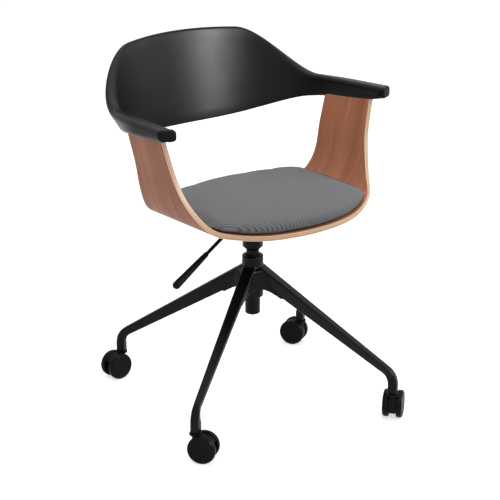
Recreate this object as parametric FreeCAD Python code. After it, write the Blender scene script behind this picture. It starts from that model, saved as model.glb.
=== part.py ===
import FreeCAD, Part
import math
import os
from FreeCAD import Vector

# Swivel chair with a bent plywood shell, a moulded back that runs into the arms,
# a gas lift column and a four-leg cast base on twin-wheel casters.
# Millimetres, +Z up, the sitter faces -Y, origin on the floor under the column.

# Base
leg_angles = (120.0, 210.0, 300.0, 30.0)
foot_radius = 321.8
leg_width_hub = 31.0
leg_width_foot = 18.5
leg_low_width = 6.0
leg_bevel = 3.0
leg_low_bevel = 1.5
leg_depth_hub = 36.0
leg_depth_foot = 20.0
leg_slope = 32.5
elbow_z = 101.0
elbow_inner_radius = 26.0
elbow_steps = 5
foot_bottom_z = 61.0
hub_diameter = 46.5
hub_top_z = 336.0
hub_height = 96.0
hub_top_bevel = 1.5
hub_bottom_chamfer = 3.0
web_radius = 65.0
web_drop = 1.5

# Column
tube_diameter = 33.0
tube_wall = 1.5
tube_top_stand = 2.4
tube_below_hub = 38.7
tube_floor = 3.0
tube_lip_bevel = 1.5
cylinder_diameter = 28.0
cylinder_wall = 2.5
lift_travel = 65.0
bush_length = 70.0
running_clearance = 0.05
rod_diameter = 10.0
rod_neck_diameter = 8.0
rod_hole_gap = 1.0
race_diameter = 25.0
race_thickness = 2.0
thrust_bearing_height = 4.5
bump_stop_height = 8.0
bump_gap = 0.5
bump_stop_diameter = 22.0
clip_diameter = 17.0
clip_thickness = 2.0
clip_groove_depth = 0.75
clip_gap = 0.4
rod_tail = 3.0
gland_length = 18.0
piston_length = 12.0
piston_seat = 1.5
cavity_spare = 60.0
taper_length = 42.0
taper_drop = 0.9
valve_pin_diameter = 6.0
valve_pin_length = 24.0
valve_pin_stand = 2.5

# Seat plate, its tapered hub and the lever housing
plate_length = 180.0
plate_width = 160.0
plate_thickness = 3.0
plate_corner = 18.0
housing_length = 100.0
housing_width = 80.0
housing_wall = 2.5
housing_corner = 8.0
lever_slot_side = 1.5
lever_slot_height = 18.0
housing_depth = 37.0
socket_diameter = 44.6
socket_bottom_z = 348.3
socket_chamfer = 8.0
socket_relief = 0.3
socket_above_floor = 4.0
cylinder_above_socket = 8.0
bolt_spacing_x = 130.0
bolt_spacing_y = 116.0
bolt_diameter = 6.0
bolt_head_diameter = 12.0
bolt_head_height = 4.0
hole_clearance = 0.3

# Lift lever
lever_slope = 32.9
lever_line_z = 444.7
lever_pivot_x = -34.0
lever_rod_diameter = 8.0
lever_eye_diameter = 14.0
lever_eye_width = 20.0
lever_pin_diameter = 6.0
lever_pin_head = 10.0
lever_pin_head_height = 2.5
lever_tongue_width = 12.0
lever_tongue_thickness = 3.5
lever_travel = 6.0
tongue_gap = 0.6
grip_start_x = -124.0
grip_length = 103.0
grip_root_diameter = 11.5
grip_end_diameter = 17.5
grip_cover = 30.0
grip_tip_share = 0.8
grip_tip_steps = 3

# Plywood shell: section in XZ, outline measured along the sheet
shell_thickness = 10.5
seat_inner_z = 452.4
seat_flat_half = 85.0
seat_rise_radius = 562.0
seat_rise_angle = 10.7
corner_radius = 43.0
corner_angle = 58.0
side_radius = 232.0
side_angle = 76.0
side_straight = 99.0
arm_toe_in = 3.7
toe_in_start = 228.0
toe_in_end = 340.0
groove_depth = 9.0
sheet_steps = (4, 6, 6, 5, 6)
front_y = -213.7
front_radius = 321.0
front_sweep = 42.5
front_hollow_radius = 230.0
front_arm_slant = 5.0
rear_y = 138.0
rear_radius = 360.0
rear_sweep = 28.4
rear_hollow_radius = 240.0

# Back and armrest moulding: plan of its crest, then its section along the crest
crest_y = 266.0
crest_radius = 445.0
crest_sweep = 19.5
crest_corner_radius = 192.0
crest_corner_sweep = 85.3
arm_straight = 179.0
back_top_z = 782.0
back_crown = 5.0
back_bottom_z = 583.0
shoulder_start = 140.0
shoulder_end = 345.0
arm_top_z = 675.5
arm_top_rise = 4.0
arm_bottom_z = 626.0
back_bottom_run = 400.0
back_bottom_power = 1.4
arm_bottom_start = 340.0
arm_bottom_rise = 27.0
back_rim_width = 13.0
arm_root_width = 32.0
arm_tip_width = 35.0
back_edge_width = 11.0
lower_widening_start = 330.0
lower_widening_end = 450.0
back_lean = 40.0
lean_start = 150.0
lean_end = 400.0
outer_lift = 13.0
outer_lift_start = 200.0
outer_lift_full = 370.0
tip_lift_share = 0.4
back_rim_round = 5.6
arm_rim_round = 9.5
lower_round_share = 0.3
inner_low_round = 3.0
tip_round_run = 34.0
crest_steps = (4, 11, 6)
tip_slant = 19.0
groove_clearance = 0.25

# Arm end caps and the pins that hold the moulding on the plywood
cap_inset = 1.5
cap_thickness = 3.0
cap_corner = 8.5
cap_edge_bevel = 1.2
cap_spigot_diameter = 10.0
cap_spigot_length = 14.0
pin_diameter = 6.0
pin_in_ply = 20.0
pin_in_arm = 10.0
pin_spacing = 45.0

# Cushion, its inner board and fixings
cushion_edge_gap = 5.0
cushion_half_width = 213.0
cushion_front_corner = 96.0
cushion_rear_corner = 62.0
cushion_rear_y = 136.0
cushion_rear_radius = 536.0
cushion_side_height = 18.0
cushion_crown = 19.0
cushion_crown_run = 150.0
cushion_least_corner = 12.0
cushion_sink = 2.0
cushion_base_inset = 6.0
cushion_base_rise = 8.0
soft_clearance = 0.3
board_length = 188.0
board_width = 190.0
board_thickness = 6.0
board_corner = 25.0
board_clearance = 0.5
tee_nut_diameter = 18.0
tee_nut_barrel = 9.0
tee_nut_flange = 1.2

# Casters
wheel_diameter = 60.0
wheel_width = 13.0
wheel_gap = 17.0
caster_trail = 16.5
caster_headings = (184.0, 305.0, 38.0, 118.5)
axle_diameter = 8.0
axle_overhang = 10.5
axle_end_gap = 0.3
body_clearance = 0.8
hood_radius = 27.5
hood_low_angle = 212.0
hood_far_angle = 30.0
body_boss_diameter = 15.0
flange_diameter = 26.0
flange_height = 4.0
flange_gap = 0.8
stem_diameter = 8.0
stem_in_leg = 34.0
stem_in_body = 16.0
stem_end_gap = 1.0
sleeve_diameter = 11.0
sleeve_top_wall = 2.0

UP = Vector(0, 0, 1)


def save(name, shape):
    """Write one sub-part to its own file."""
    shape.exportStep(f"parts/{name}.step")


def cylinder(diameter, z0, z1, x=0.0, y=0.0):
    return Part.makeCylinder(diameter / 2, z1 - z0, Vector(x, y, z0), UP)


def ring(outer, inner, z0, z1, x=0.0, y=0.0):
    return cylinder(outer, z0, z1, x, y).cut(cylinder(inner, z0 - 1, z1 + 1, x, y))


def cone(d0, d1, z0, z1):
    return Part.makeCone(d0 / 2, d1 / 2, z1 - z0, Vector(0, 0, z0), UP)


def block(x0, x1, y0, y1, z0, z1):
    return Part.makeBox(x1 - x0, y1 - y0, z1 - z0, Vector(x0, y0, z0))


def rounded_block(length, width, corner, z0, z1):
    """A plate with rounded corners, centred on the column."""
    plate = block(-length / 2, length / 2, -width / 2, width / 2, z0, z1)
    edges = [e for e in plate.Edges if abs(e.tangentAt(e.FirstParameter).z) > 0.9]
    return plate.makeFillet(corner, edges)


def revolve_y(points, x, z):
    """Turn a closed outline of (radius, y) points about an axle along Y at (x, z)."""
    wire = Part.makePolygon([Vector(x, y, z + r) for r, y in points + points[:1]])
    return Part.Face(wire).revolve(Vector(x, 0, z), Vector(0, 1, 0), 360)


def turned(shape, degrees, x=0.0, y=0.0):
    """A copy turned about the vertical through the origin, then moved to (x, y)."""
    copy = shape.copy()
    copy.rotate(Vector(0, 0, 0), UP, degrees)
    copy.translate(Vector(x, y, 0))
    return copy


def smooth(t):
    """An S-shaped ramp from 0 to 1."""
    t = min(max(t, 0.0), 1.0)
    return t * t * (3 - 2 * t)


class TangentPath:
    """Lines and arcs that join without a corner, the same on both sides of zero.

    It starts level at height v0. Each piece is (length, heading at its end in degrees).
    """

    def __init__(self, v0, pieces):
        self.knots = [(0.0, 0.0, v0, 0.0)]
        for length, heading in pieces:
            s, u, v, start = self.knots[-1]
            self.knots.append((s + length, *self._walk(u, v, start, math.radians(heading), length, 1.0)))
        self.length = self.knots[-1][0]

    @staticmethod
    def _walk(u, v, start, end, length, share):
        turn = (end - start) * share
        run = length * share
        if abs(turn) < 1e-9:
            return u + run * math.cos(start), v + run * math.sin(start), start
        radius = run / turn
        now = start + turn
        u += radius * (math.sin(now) - math.sin(start))
        v += radius * (math.cos(start) - math.cos(now))
        return u, v, now

    def at(self, s, offset=0.0):
        """The point at distance s along the path, moved by offset to its left, and its heading."""
        side = -1.0 if s < 0 else 1.0
        s = abs(s)
        index = 0
        while index < len(self.knots) - 2 and s > self.knots[index + 1][0]:
            index += 1
        s0, u0, v0, h0 = self.knots[index]
        s1, _, _, h1 = self.knots[index + 1]
        u, v, heading = self._walk(u0, v0, h0, h1, s1 - s0, (s - s0) / (s1 - s0))
        u -= offset * math.sin(heading)
        v += offset * math.cos(heading)
        return side * u, v, side * heading

    def breaks(self):
        ends = [knot[0] for knot in self.knots[1:]]
        return [-s for s in reversed(ends)] + ends

    def edges(self, offset, place):
        """Lines and arcs along the whole path, each point put in space by place(u, v)."""
        breaks = self.breaks()
        made = []
        for a, b in zip(breaks[:-1], breaks[1:]):
            first, middle, last = (self.at(s, offset) for s in (a, (a + b) / 2, b))
            ends = place(first[0], first[1]), place(last[0], last[1])
            if abs(first[2] - last[2]) < 1e-9:
                made.append(Part.LineSegment(*ends).toShape())
            else:
                made.append(Part.Arc(ends[0], place(middle[0], middle[1]), ends[1]).toShape())
        return made


def arc_length(radius, start, end):
    return radius * abs(math.radians(end - start))


shell_section = TangentPath(seat_inner_z, [
    (seat_flat_half, 0.0),
    (arc_length(seat_rise_radius, 0, seat_rise_angle), seat_rise_angle),
    (arc_length(corner_radius, seat_rise_angle, corner_angle), corner_angle),
    (arc_length(side_radius, corner_angle, side_angle), side_angle),
    (side_straight + groove_depth, side_angle),
])
front_edge = TangentPath(front_y, [
    (arc_length(front_radius, 0, front_sweep), front_sweep),
    (arc_length(front_hollow_radius, front_sweep, front_arm_slant), front_arm_slant),
    (90.0, front_arm_slant),
])
rear_edge = TangentPath(rear_y, [
    (arc_length(rear_radius, 0, rear_sweep), -rear_sweep),
    (arc_length(rear_hollow_radius, rear_sweep, 0), 0.0),
    (160.0, 0.0),
])
crest = TangentPath(-crest_y, [
    (arc_length(crest_radius, 0, crest_sweep), crest_sweep),
    (arc_length(crest_corner_radius, crest_sweep, crest_corner_sweep), crest_corner_sweep),
    (arm_straight, crest_corner_sweep),
])

hub_bottom_z = hub_top_z - hub_height
tube_top_z = hub_top_z + tube_top_stand
tube_bottom_z = hub_bottom_z - tube_below_hub
race_z = tube_bottom_z + tube_floor
upper_race_z = race_z + thrust_bearing_height
shoulder_z = upper_race_z + race_thickness
cylinder_bottom_z = shoulder_z + bump_stop_height + bump_gap
gland_top_z = cylinder_bottom_z + gland_length
piston_z = gland_top_z + lift_travel + piston_seat
rod_top_z = piston_z + piston_length
cavity_top_z = rod_top_z + cavity_spare
shell_bottom_z = seat_inner_z - shell_thickness
plate_bottom_z = shell_bottom_z - plate_thickness
housing_bottom_z = shell_bottom_z - housing_depth
socket_top_z = housing_bottom_z + housing_wall + socket_above_floor
cylinder_top_z = socket_top_z + cylinder_above_socket
taper_z = socket_top_z - taper_length
lever_pivot_z = lever_line_z + lever_pivot_x * math.tan(math.radians(lever_slope))
pin_drop = -lever_pivot_x * math.radians(lever_travel)
valve_top_z = cylinder_top_z + pin_drop + valve_pin_stand
wheel_radius = wheel_diameter / 2
flange_top_z = foot_bottom_z - flange_gap
bolt_places = [(i * bolt_spacing_x / 2, j * bolt_spacing_y / 2) for i in (-1, 1) for j in (-1, 1)]


def leg_section(place, heading, depth, width, low_width):
    """Section of a leg at a point of its middle line: bevelled on top, narrower below."""
    over = Vector(-math.sin(heading), 0, math.cos(heading))
    half, wide, low = depth / 2, width / 2, low_width / 2
    outline = [(half, wide - leg_bevel), (half - leg_bevel, wide), (leg_low_bevel - half, low),
               (-half, low - leg_low_bevel)]
    outline += [(rise, -across) for rise, across in reversed(outline)]
    corners = [place + over * rise + Vector(0, across, 0) for rise, across in outline]
    return Part.makePolygon(corners + corners[:1])


def make_leg():
    """One leg along +X: a tapering arm, an elbow and a straight foot with the seat for the stem sleeve."""
    slope = math.radians(-leg_slope)
    radius = elbow_inner_radius + leg_depth_foot / 2
    turn = math.radians(90.0 - leg_slope)
    reach = radius * math.tan(turn / 2)
    corner = Vector(foot_radius, 0, elbow_z)
    along = Vector(math.cos(slope), 0, math.sin(slope))
    root = corner - along * ((foot_radius - hub_diameter / 4) / math.cos(slope))
    bend_start = leg_section(corner - along * reach, slope, leg_depth_foot, leg_width_foot, leg_low_width)
    arm = Part.makeLoft([leg_section(root, slope, leg_depth_hub, leg_width_hub, leg_low_width), bend_start],
                        True, True)
    bend = []
    for i in range(elbow_steps + 1):
        now = turn * i / elbow_steps
        centre = corner - along * reach - Vector(-math.sin(slope), 0, math.cos(slope)) * radius
        heading = slope - now
        place = centre + Vector(-math.sin(heading), 0, math.cos(heading)) * radius
        low = leg_low_width + (leg_width_foot - leg_low_width) * i / elbow_steps
        bend.append(leg_section(place, heading, leg_depth_foot, leg_width_foot, low))
    elbow = Part.makeLoft(bend, True, True)
    foot = Part.makeLoft([bend[-1], leg_section(Vector(foot_radius, 0, foot_bottom_z), -math.pi / 2,
                                                leg_depth_foot, leg_width_foot, leg_width_foot)], True, True)
    leg = arm.multiFuse([elbow, foot])
    return leg.cut(cylinder(sleeve_diameter, foot_bottom_z - 1, sleeve_top(), foot_radius))


def leg_envelope():
    """Side view of the upper part of a leg, from the axis out, for the webs at the hub."""
    slope = math.radians(leg_slope)
    reach = 3 * hub_diameter
    start = elbow_z + foot_radius * math.tan(slope)
    end = start - reach * math.tan(slope)
    half = leg_depth_hub / 2 / math.cos(slope)
    corners = [Vector(0, 0, start + half), Vector(reach, 0, end + half),
               Vector(reach, 0, end - half), Vector(0, 0, start - half)]
    return Part.Face(Part.makePolygon(corners + corners[:1]))


def rounded_wire(corners, rounds):
    """A closed wire through the corners, each corner cut by a tangent arc of its own radius."""
    edges = []
    count = len(corners)
    starts, arcs = [], []
    for i, corner in enumerate(corners):
        back = (corners[i - 1] - corner).normalize()
        ahead = (corners[(i + 1) % count] - corner).normalize()
        if rounds[i] == 0:
            starts.append((corner, corner))
            arcs.append(None)
            continue
        half = back.getAngle(ahead) / 2
        reach = rounds[i] / math.tan(half)
        bisector = (back + ahead).normalize()
        centre = corner + bisector * (rounds[i] / math.sin(half))
        starts.append((corner + back * reach, corner + ahead * reach))
        arcs.append(centre - bisector * rounds[i])
    for i in range(count):
        enter, leave = starts[i]
        if arcs[i] is not None:
            edges.append(Part.Arc(enter, arcs[i], leave).toShape())
        edges.append(Part.LineSegment(leave, starts[(i + 1) % count][0]).toShape())
    return Part.Wire(edges)


def sleeve_top():
    return foot_bottom_z + stem_in_leg + sleeve_top_wall


def make_webs():
    """The hollow-curved webs between neighbouring legs, under the line of the leg tops."""
    half = leg_low_width / 2
    reach = half + web_radius
    middle = web_radius * math.sqrt(0.5)
    edges = []
    for quarter in range(4):
        corner = [Vector(reach, half, 0), Vector(reach - middle, reach - middle, 0), Vector(half, reach, 0)]
        tip = [Vector(half, reach, 0), Vector(-half, reach, 0)]
        for points, kind in ((corner, Part.Arc), (tip, Part.LineSegment)):
            placed = [turned_point(p, 90 * quarter) for p in points]
            edges.append(kind(*placed).toShape())
    star = Part.Face(Part.Wire(Part.__sortEdges__(edges))).extrude(Vector(0, 0, hub_top_z))
    star.rotate(Vector(0, 0, 0), UP, leg_angles[-1])
    profile = leg_envelope()
    profile.translate(Vector(0, 0, -web_drop))
    limit = profile.revolve(Vector(0, 0, 0), UP, 360)
    return star.common(limit)


def turned_point(point, degrees):
    angle = math.radians(degrees)
    return Vector(point.x * math.cos(angle) - point.y * math.sin(angle),
                  point.x * math.sin(angle) + point.y * math.cos(angle), point.z)


def make_base():
    hub = cylinder(hub_diameter, hub_bottom_z, hub_top_z)
    rims = [e for e in hub.Edges if e.Closed]
    top = [e for e in rims if e.BoundBox.ZMin > hub_top_z - 1]
    hub = hub.makeChamfer(hub_top_bevel, top)
    low = [e for e in hub.Edges if e.Closed and e.BoundBox.ZMax < hub_bottom_z + 1]
    hub = hub.makeChamfer(hub_bottom_chamfer, low)
    leg = make_leg()
    parts = [turned(leg, angle) for angle in leg_angles] + [make_webs()]
    base = hub.multiFuse(parts)
    base = base.cut(cylinder(tube_diameter, tube_bottom_z, tube_top_z))
    return base.removeSplitter()


def make_column():
    """Outer tube with its floor, guide bush, thrust bearing and everything on the piston rod."""
    bore = tube_diameter - 2 * tube_wall
    tube = cylinder(tube_diameter, tube_bottom_z, tube_top_z)
    tube = tube.cut(cylinder(bore, race_z, tube_top_z + 1))
    tube = tube.cut(cylinder(rod_neck_diameter + 2 * rod_hole_gap, tube_bottom_z - 1, race_z + 1))
    lip = [e for e in tube.Edges if e.Closed and e.BoundBox.ZMax < tube_bottom_z + 0.1
           and e.BoundBox.XLength > tube_diameter - 1]
    tube = tube.makeChamfer(tube_lip_bevel, lip)
    save("column_tube", tube)
    bush_bore = cylinder_diameter + 2 * running_clearance
    save("guide_bush", ring(bore, bush_bore, tube_top_z - bush_length, tube_top_z))
    save("thrust_bearing", ring(race_diameter, rod_neck_diameter + rod_hole_gap, race_z, upper_race_z))
    save("bump_stop", ring(bump_stop_diameter, rod_diameter, shoulder_z, shoulder_z + bump_stop_height))
    clip_top = tube_bottom_z - clip_gap
    clip_groove = rod_neck_diameter - 2 * clip_groove_depth
    rod = cylinder(rod_neck_diameter, clip_top - clip_thickness - rod_tail, shoulder_z)
    rod = rod.cut(ring(rod_neck_diameter + 2, clip_groove, clip_top - clip_thickness, clip_top))
    rod = rod.fuse(cylinder(race_diameter - 1, upper_race_z, shoulder_z))
    rod = rod.fuse(cylinder(rod_diameter, shoulder_z, rod_top_z))
    save("piston_rod", rod.removeSplitter())
    clip = ring(clip_diameter, clip_groove, clip_top - clip_thickness, clip_top)
    slot = block(0, clip_diameter, -clip_groove / 2, clip_groove / 2, tube_bottom_z - 20, tube_bottom_z)
    save("rod_clip", clip.cut(slot))
    piston_diameter = cylinder_diameter - 2 * cylinder_wall - 2 * running_clearance
    save("piston", ring(piston_diameter, rod_diameter, piston_z, rod_top_z))


def make_gas_cylinder():
    bore = cylinder_diameter - 2 * cylinder_wall
    body = cylinder(cylinder_diameter, cylinder_bottom_z, taper_z)
    top_diameter = taper_diameter(cylinder_top_z)
    body = body.fuse(cone(cylinder_diameter, top_diameter, taper_z, cylinder_top_z))
    body = body.cut(cylinder(bore, cylinder_bottom_z - 1, cavity_top_z))
    body = body.cut(cylinder(valve_pin_diameter + 2 * running_clearance,
                             valve_top_z - valve_pin_length - pin_drop - 1, cylinder_top_z + 1))
    save("gas_cylinder", body)
    gland = ring(bore, rod_diameter + 2 * running_clearance, cylinder_bottom_z, gland_top_z)
    save("cylinder_gland", gland)
    save("valve_pin", cylinder(valve_pin_diameter, valve_top_z - valve_pin_length, valve_top_z))


def taper_diameter(z):
    """Outer diameter of the cylinder's locking taper at height z."""
    return cylinder_diameter - taper_drop * 2 * (z - taper_z) / (socket_top_z - taper_z)


def make_seat_plate():
    """Pressed plate, lever housing below it and the tapered hub for the cylinder."""
    plate = rounded_block(plate_length, plate_width, plate_corner, plate_bottom_z, shell_bottom_z)
    housing = rounded_block(housing_length, housing_width, housing_corner, housing_bottom_z, plate_bottom_z)
    inside = rounded_block(housing_length - 2 * housing_wall, housing_width - 2 * housing_wall,
                           housing_corner - housing_wall, housing_bottom_z + housing_wall, plate_bottom_z)
    socket = cylinder(socket_diameter, socket_bottom_z, socket_top_z)
    lower = [e for e in socket.Edges if e.Closed and e.BoundBox.ZMax < socket_bottom_z + 0.1]
    socket = socket.makeChamfer(socket_chamfer, lower)
    body = housing.cut(inside).multiFuse([plate, socket])
    body = body.cut(cylinder(cylinder_diameter + 2 * socket_relief, socket_bottom_z - 1, taper_z))
    body = body.cut(cone(cylinder_diameter, taper_diameter(socket_top_z), taper_z, socket_top_z))
    rod_z = lever_line_z - housing_length / 2 * math.tan(math.radians(lever_slope))
    slot = block(-housing_length / 2 - 1, -housing_length / 2 + housing_wall + 1,
                 -lever_rod_diameter / 2 - lever_slot_side, lever_rod_diameter / 2 + lever_slot_side,
                 rod_z - lever_slot_height / 2, rod_z + lever_slot_height / 2)
    body = body.cut(slot)
    pin_hole = Part.makeCylinder(lever_pin_diameter / 2, housing_width + 2,
                                 Vector(lever_pivot_x, -housing_width / 2 - 1, lever_pivot_z), Vector(0, 1, 0))
    body = body.cut(pin_hole)
    hole = bolt_diameter + 2 * hole_clearance
    for x, y in bolt_places:
        body = body.cut(cylinder(hole, plate_bottom_z - 1, shell_bottom_z + 1, x, y))
    save("seat_plate", body.removeSplitter())


def make_lever():
    slope = math.radians(lever_slope)
    out = Vector(-math.cos(slope), 0, -math.sin(slope))
    pivot = Vector(lever_pivot_x, 0, lever_pivot_z)
    across = Vector(0, 1, 0)
    eye = Part.makeCylinder(lever_eye_diameter / 2, lever_eye_width,
                            pivot - across * (lever_eye_width / 2), across)
    grip_run = (lever_pivot_x - grip_start_x) / math.cos(slope)
    rod = Part.makeCylinder(lever_rod_diameter / 2, grip_run + grip_cover, pivot, out)
    under = valve_top_z + tongue_gap
    half = lever_tongue_width / 2
    thick = lever_tongue_thickness
    tongue = block(lever_pivot_x, valve_pin_diameter / 2 + 1, -half, half, under, under + thick)
    upright = block(lever_pivot_x, lever_pivot_x + thick, -half, half, lever_pivot_z, under + 1)
    lever = eye.multiFuse([rod, tongue, upright])
    running_bore = lever_pin_diameter + 2 * running_clearance
    bore = Part.makeCylinder(running_bore / 2, lever_eye_width + 2,
                             pivot - across * (lever_eye_width / 2 + 1), across)
    save("lever_rod", lever.cut(bore).removeSplitter())
    reach = housing_width / 2 + lever_pin_head_height
    pin = Part.makeCylinder(lever_pin_diameter / 2, housing_width + lever_pin_head_height,
                            pivot - across * reach, across)
    head = Part.makeCylinder(lever_pin_head / 2, lever_pin_head_height, pivot - across * reach, across)
    save("lever_pin", pin.fuse(head).removeSplitter())
    make_grip(pivot + out * grip_run, out)


def make_grip(start, out):
    """Moulded grip that widens from its collar to a rounded end, over the rod's end."""
    root, end = grip_root_diameter / 2, grip_end_diameter / 2
    straight = grip_length - end * grip_tip_share
    outline = [(0.0, 0.0), (root, 0.0), (end, straight)]
    for step in range(1, grip_tip_steps + 1):
        turn = math.radians(80.0 * step / grip_tip_steps)
        outline.append((end * math.cos(turn), straight + (grip_length - straight) * math.sin(turn)))
    outline.append((0.0, outline[-1][1]))
    wire = Part.makePolygon([Vector(r, 0, z) for r, z in outline + outline[:1]])
    grip = Part.Face(wire).revolve(Vector(0, 0, 0), UP, 360)
    grip = grip.cut(cylinder(lever_rod_diameter, -1, grip_cover))
    turn = FreeCAD.Rotation(UP, out)
    grip.Placement = FreeCAD.Placement(start, turn)
    save("lever_grip", grip)


def sheet_place(y):
    return lambda u, v: Vector(u, y, v)


def toe_in(s, y):
    """How far the sheet is drawn towards the middle behind its front edge, high on the sides."""
    share = smooth((abs(s) - toe_in_start) / (toe_in_end - toe_in_start))
    return share * math.tan(math.radians(arm_toe_in)) * (y - edge_y(front_edge, s))


def edge_y(edge, s):
    """The y of a sheet edge at distance s along the bent sheet."""
    low, high = 0.0, edge.length
    for _ in range(40):
        middle = (low + high) / 2
        if edge.at(middle)[0] < abs(s):
            low = middle
        else:
            high = middle
    return edge.at(low)[1]


def sheet_wire(s, spare=0.0):
    """Section through the sheet from front edge to rear edge at s, grown by spare."""
    side = -1.0 if s < 0 else 1.0
    front = edge_y(front_edge, s) - spare
    rear = edge_y(rear_edge, s) + spare
    inner = shell_section.at(s, spare)
    outer = shell_section.at(s, -shell_thickness - spare)
    corners = [Vector(x - side * toe_in(s, y), y, z)
               for (x, z, _), y in ((inner, front), (outer, front), (outer, rear), (inner, rear))]
    return Part.makePolygon(corners + corners[:1])


def make_shell():
    sheet = Part.makeLoft([sheet_wire(s) for s in stations(shell_section, sheet_steps)], True, True)
    hole = bolt_diameter + 2 * hole_clearance
    for x, y in bolt_places:
        sheet = sheet.cut(cylinder(hole, shell_bottom_z - 1, seat_inner_z + 1, x, y))
    for side in (-1, 1):
        for start, along in pin_places(side):
            low = start - along * pin_in_ply
            sheet = sheet.cut(Part.makeCylinder(pin_diameter / 2, pin_in_ply + 1, low, along))
    save("plywood_shell", sheet)


def pin_places(side):
    """Mid-thickness points on the sheet's top edge, with the direction of the sheet there."""
    x, z, heading = shell_section.at(side * shell_section.length, -shell_thickness / 2)
    along = Vector(math.cos(heading) * side, 0, abs(math.sin(heading)))
    length = shell_section.length
    return [(Vector(x - side * toe_in(length, y), y, z), along)
            for y in (-pin_spacing, 0.0, pin_spacing)]


def moulding_station(s):
    """Corners and corner radii of the section of the back and arms at distance s."""
    along = abs(s)
    shoulder = smooth((along - shoulder_start) / (shoulder_end - shoulder_start))
    arm_share = max(0.0, (along - shoulder_end) / (crest.length - shoulder_end))
    crown = back_crown * min(along / shoulder_start, 1.0) ** 2
    top = back_top_z - crown - (back_top_z - back_crown - arm_top_z) * shoulder + arm_top_rise * arm_share
    tip_share = max(0.0, (along - arm_bottom_start) / (crest.length - arm_bottom_start))
    ramp = smooth(along / back_bottom_run) ** back_bottom_power
    bottom = back_bottom_z + (arm_bottom_z - back_bottom_z) * ramp
    bottom += arm_bottom_rise * tip_share
    top_width = back_rim_width + (arm_root_width - back_rim_width) * shoulder
    top_width += (arm_tip_width - arm_root_width) * arm_share
    widening = smooth((along - lower_widening_start) / (lower_widening_end - lower_widening_start))
    low_width = back_edge_width + (arm_tip_width - back_edge_width) * widening
    lean = back_lean * (1 - smooth((along - lean_start) / (lean_end - lean_start)))
    lift = outer_lift * smooth((along - outer_lift_start) / (outer_lift_full - outer_lift_start))
    lift *= 1 - (1 - tip_lift_share) * smooth((along - outer_lift_full) / (crest.length - outer_lift_full))
    u, v, heading = crest.at(s)
    middle = Vector(u, -v, 0)
    outward = Vector(math.sin(heading), math.cos(heading), 0)
    inner_low = -top_width / 2 - lean
    corners = [middle - outward * (top_width / 2) + UP * top,
               middle + outward * (top_width / 2) + UP * top,
               middle + outward * (inner_low + low_width) + UP * (bottom + lift),
               middle + outward * inner_low + UP * bottom]
    rim = back_rim_round + (arm_rim_round - back_rim_round) * shoulder
    low = low_width * lower_round_share
    tip = smooth((along - crest.length + tip_round_run) / tip_round_run)
    inner_low_now = inner_low_round + (low - inner_low_round) * tip
    return corners, (rim, rim, low, inner_low_now)


def moulding_wire(s):
    return rounded_wire(*moulding_station(s))


def tip_frame(side):
    """Centre and outward normal of the slanted face at an arm's tip, and the arm's height there."""
    corners, _ = moulding_station(side * crest.length)
    middle = (corners[0] + corners[1] + corners[2] + corners[3]) * 0.25
    turn = math.radians(90 - crest_corner_sweep + tip_slant)
    normal = Vector(side * math.sin(turn), -math.cos(turn), 0)
    seat = middle - normal * (arm_tip_width / 2 * math.tan(math.radians(tip_slant)))
    return seat, normal, corners[0].z - corners[3].z


def stations(path, counts):
    """Distances along a path on both sides of its middle, each piece of it cut in equal steps."""
    half = []
    knots = [knot[0] for knot in path.knots]
    for a, b, count in zip(knots[:-1], knots[1:], counts):
        half += [a + (b - a) * i / count for i in range(count)]
    half.append(knots[-1])
    return [-s for s in reversed(half[1:])] + half


def make_back():
    wires = [moulding_wire(s) for s in stations(crest, crest_steps)]
    back = Part.makeLoft(wires, True, True)
    for side in (-1, 1):
        seat, normal, _ = tip_frame(side)
        size = 4 * arm_tip_width
        waste = Part.makeBox(size, size, size, Vector(-size / 2, -size / 2, 0))
        waste.Placement = FreeCAD.Placement(seat, FreeCAD.Rotation(UP, normal))
        back = back.cut(waste)
        spigot = Part.makeCylinder(cap_spigot_diameter / 2, cap_spigot_length + 1,
                                   seat - normal * (cap_spigot_length + 0.5), normal)
        back = back.cut(spigot).cut(groove(side))
        for start, along in pin_places(side):
            back = back.cut(Part.makeCylinder(pin_diameter / 2, pin_in_arm + 0.5, start, along))
    save("back_and_arms", back)
    make_caps()
    pins = [Part.makeCylinder(pin_diameter / 2, pin_in_ply + pin_in_arm, start - along * pin_in_ply, along)
            for side in (-1, 1) for start, along in pin_places(side)]
    save("arm_pins", Part.makeCompound(pins))


def groove(side):
    """Slot in an armrest's underside that takes the top edge of the plywood."""
    top = shell_section.length + groove_clearance
    low = shell_section.length - groove_depth - arm_top_z + arm_bottom_z
    return Part.makeLoft([sheet_wire(side * s, groove_clearance) for s in (low, top)], True, True)


def make_caps():
    width = arm_tip_width / math.cos(math.radians(tip_slant)) - 2 * cap_inset
    caps = []
    for side in (-1, 1):
        seat, normal, height = tip_frame(side)
        height -= 2 * cap_inset
        plug = block(-width / 2, width / 2, -height / 2, height / 2, 0, cap_thickness)
        upright = [e for e in plug.Edges if abs(e.tangentAt(e.FirstParameter).z) > 0.9]
        plug = plug.makeFillet(cap_corner, upright)
        rim = [e for e in plug.Edges if e.BoundBox.ZMin > cap_thickness - 0.1]
        plug = plug.makeChamfer(cap_edge_bevel, rim)
        plug = plug.fuse(cylinder(cap_spigot_diameter, -cap_spigot_length, 0))
        level = normal.cross(UP)
        turn = FreeCAD.Rotation(level, UP, normal, "ZXY")
        plug.Placement = FreeCAD.Placement(seat, turn)
        caps.append(plug)
    save("arm_caps", Part.makeCompound(caps))


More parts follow.
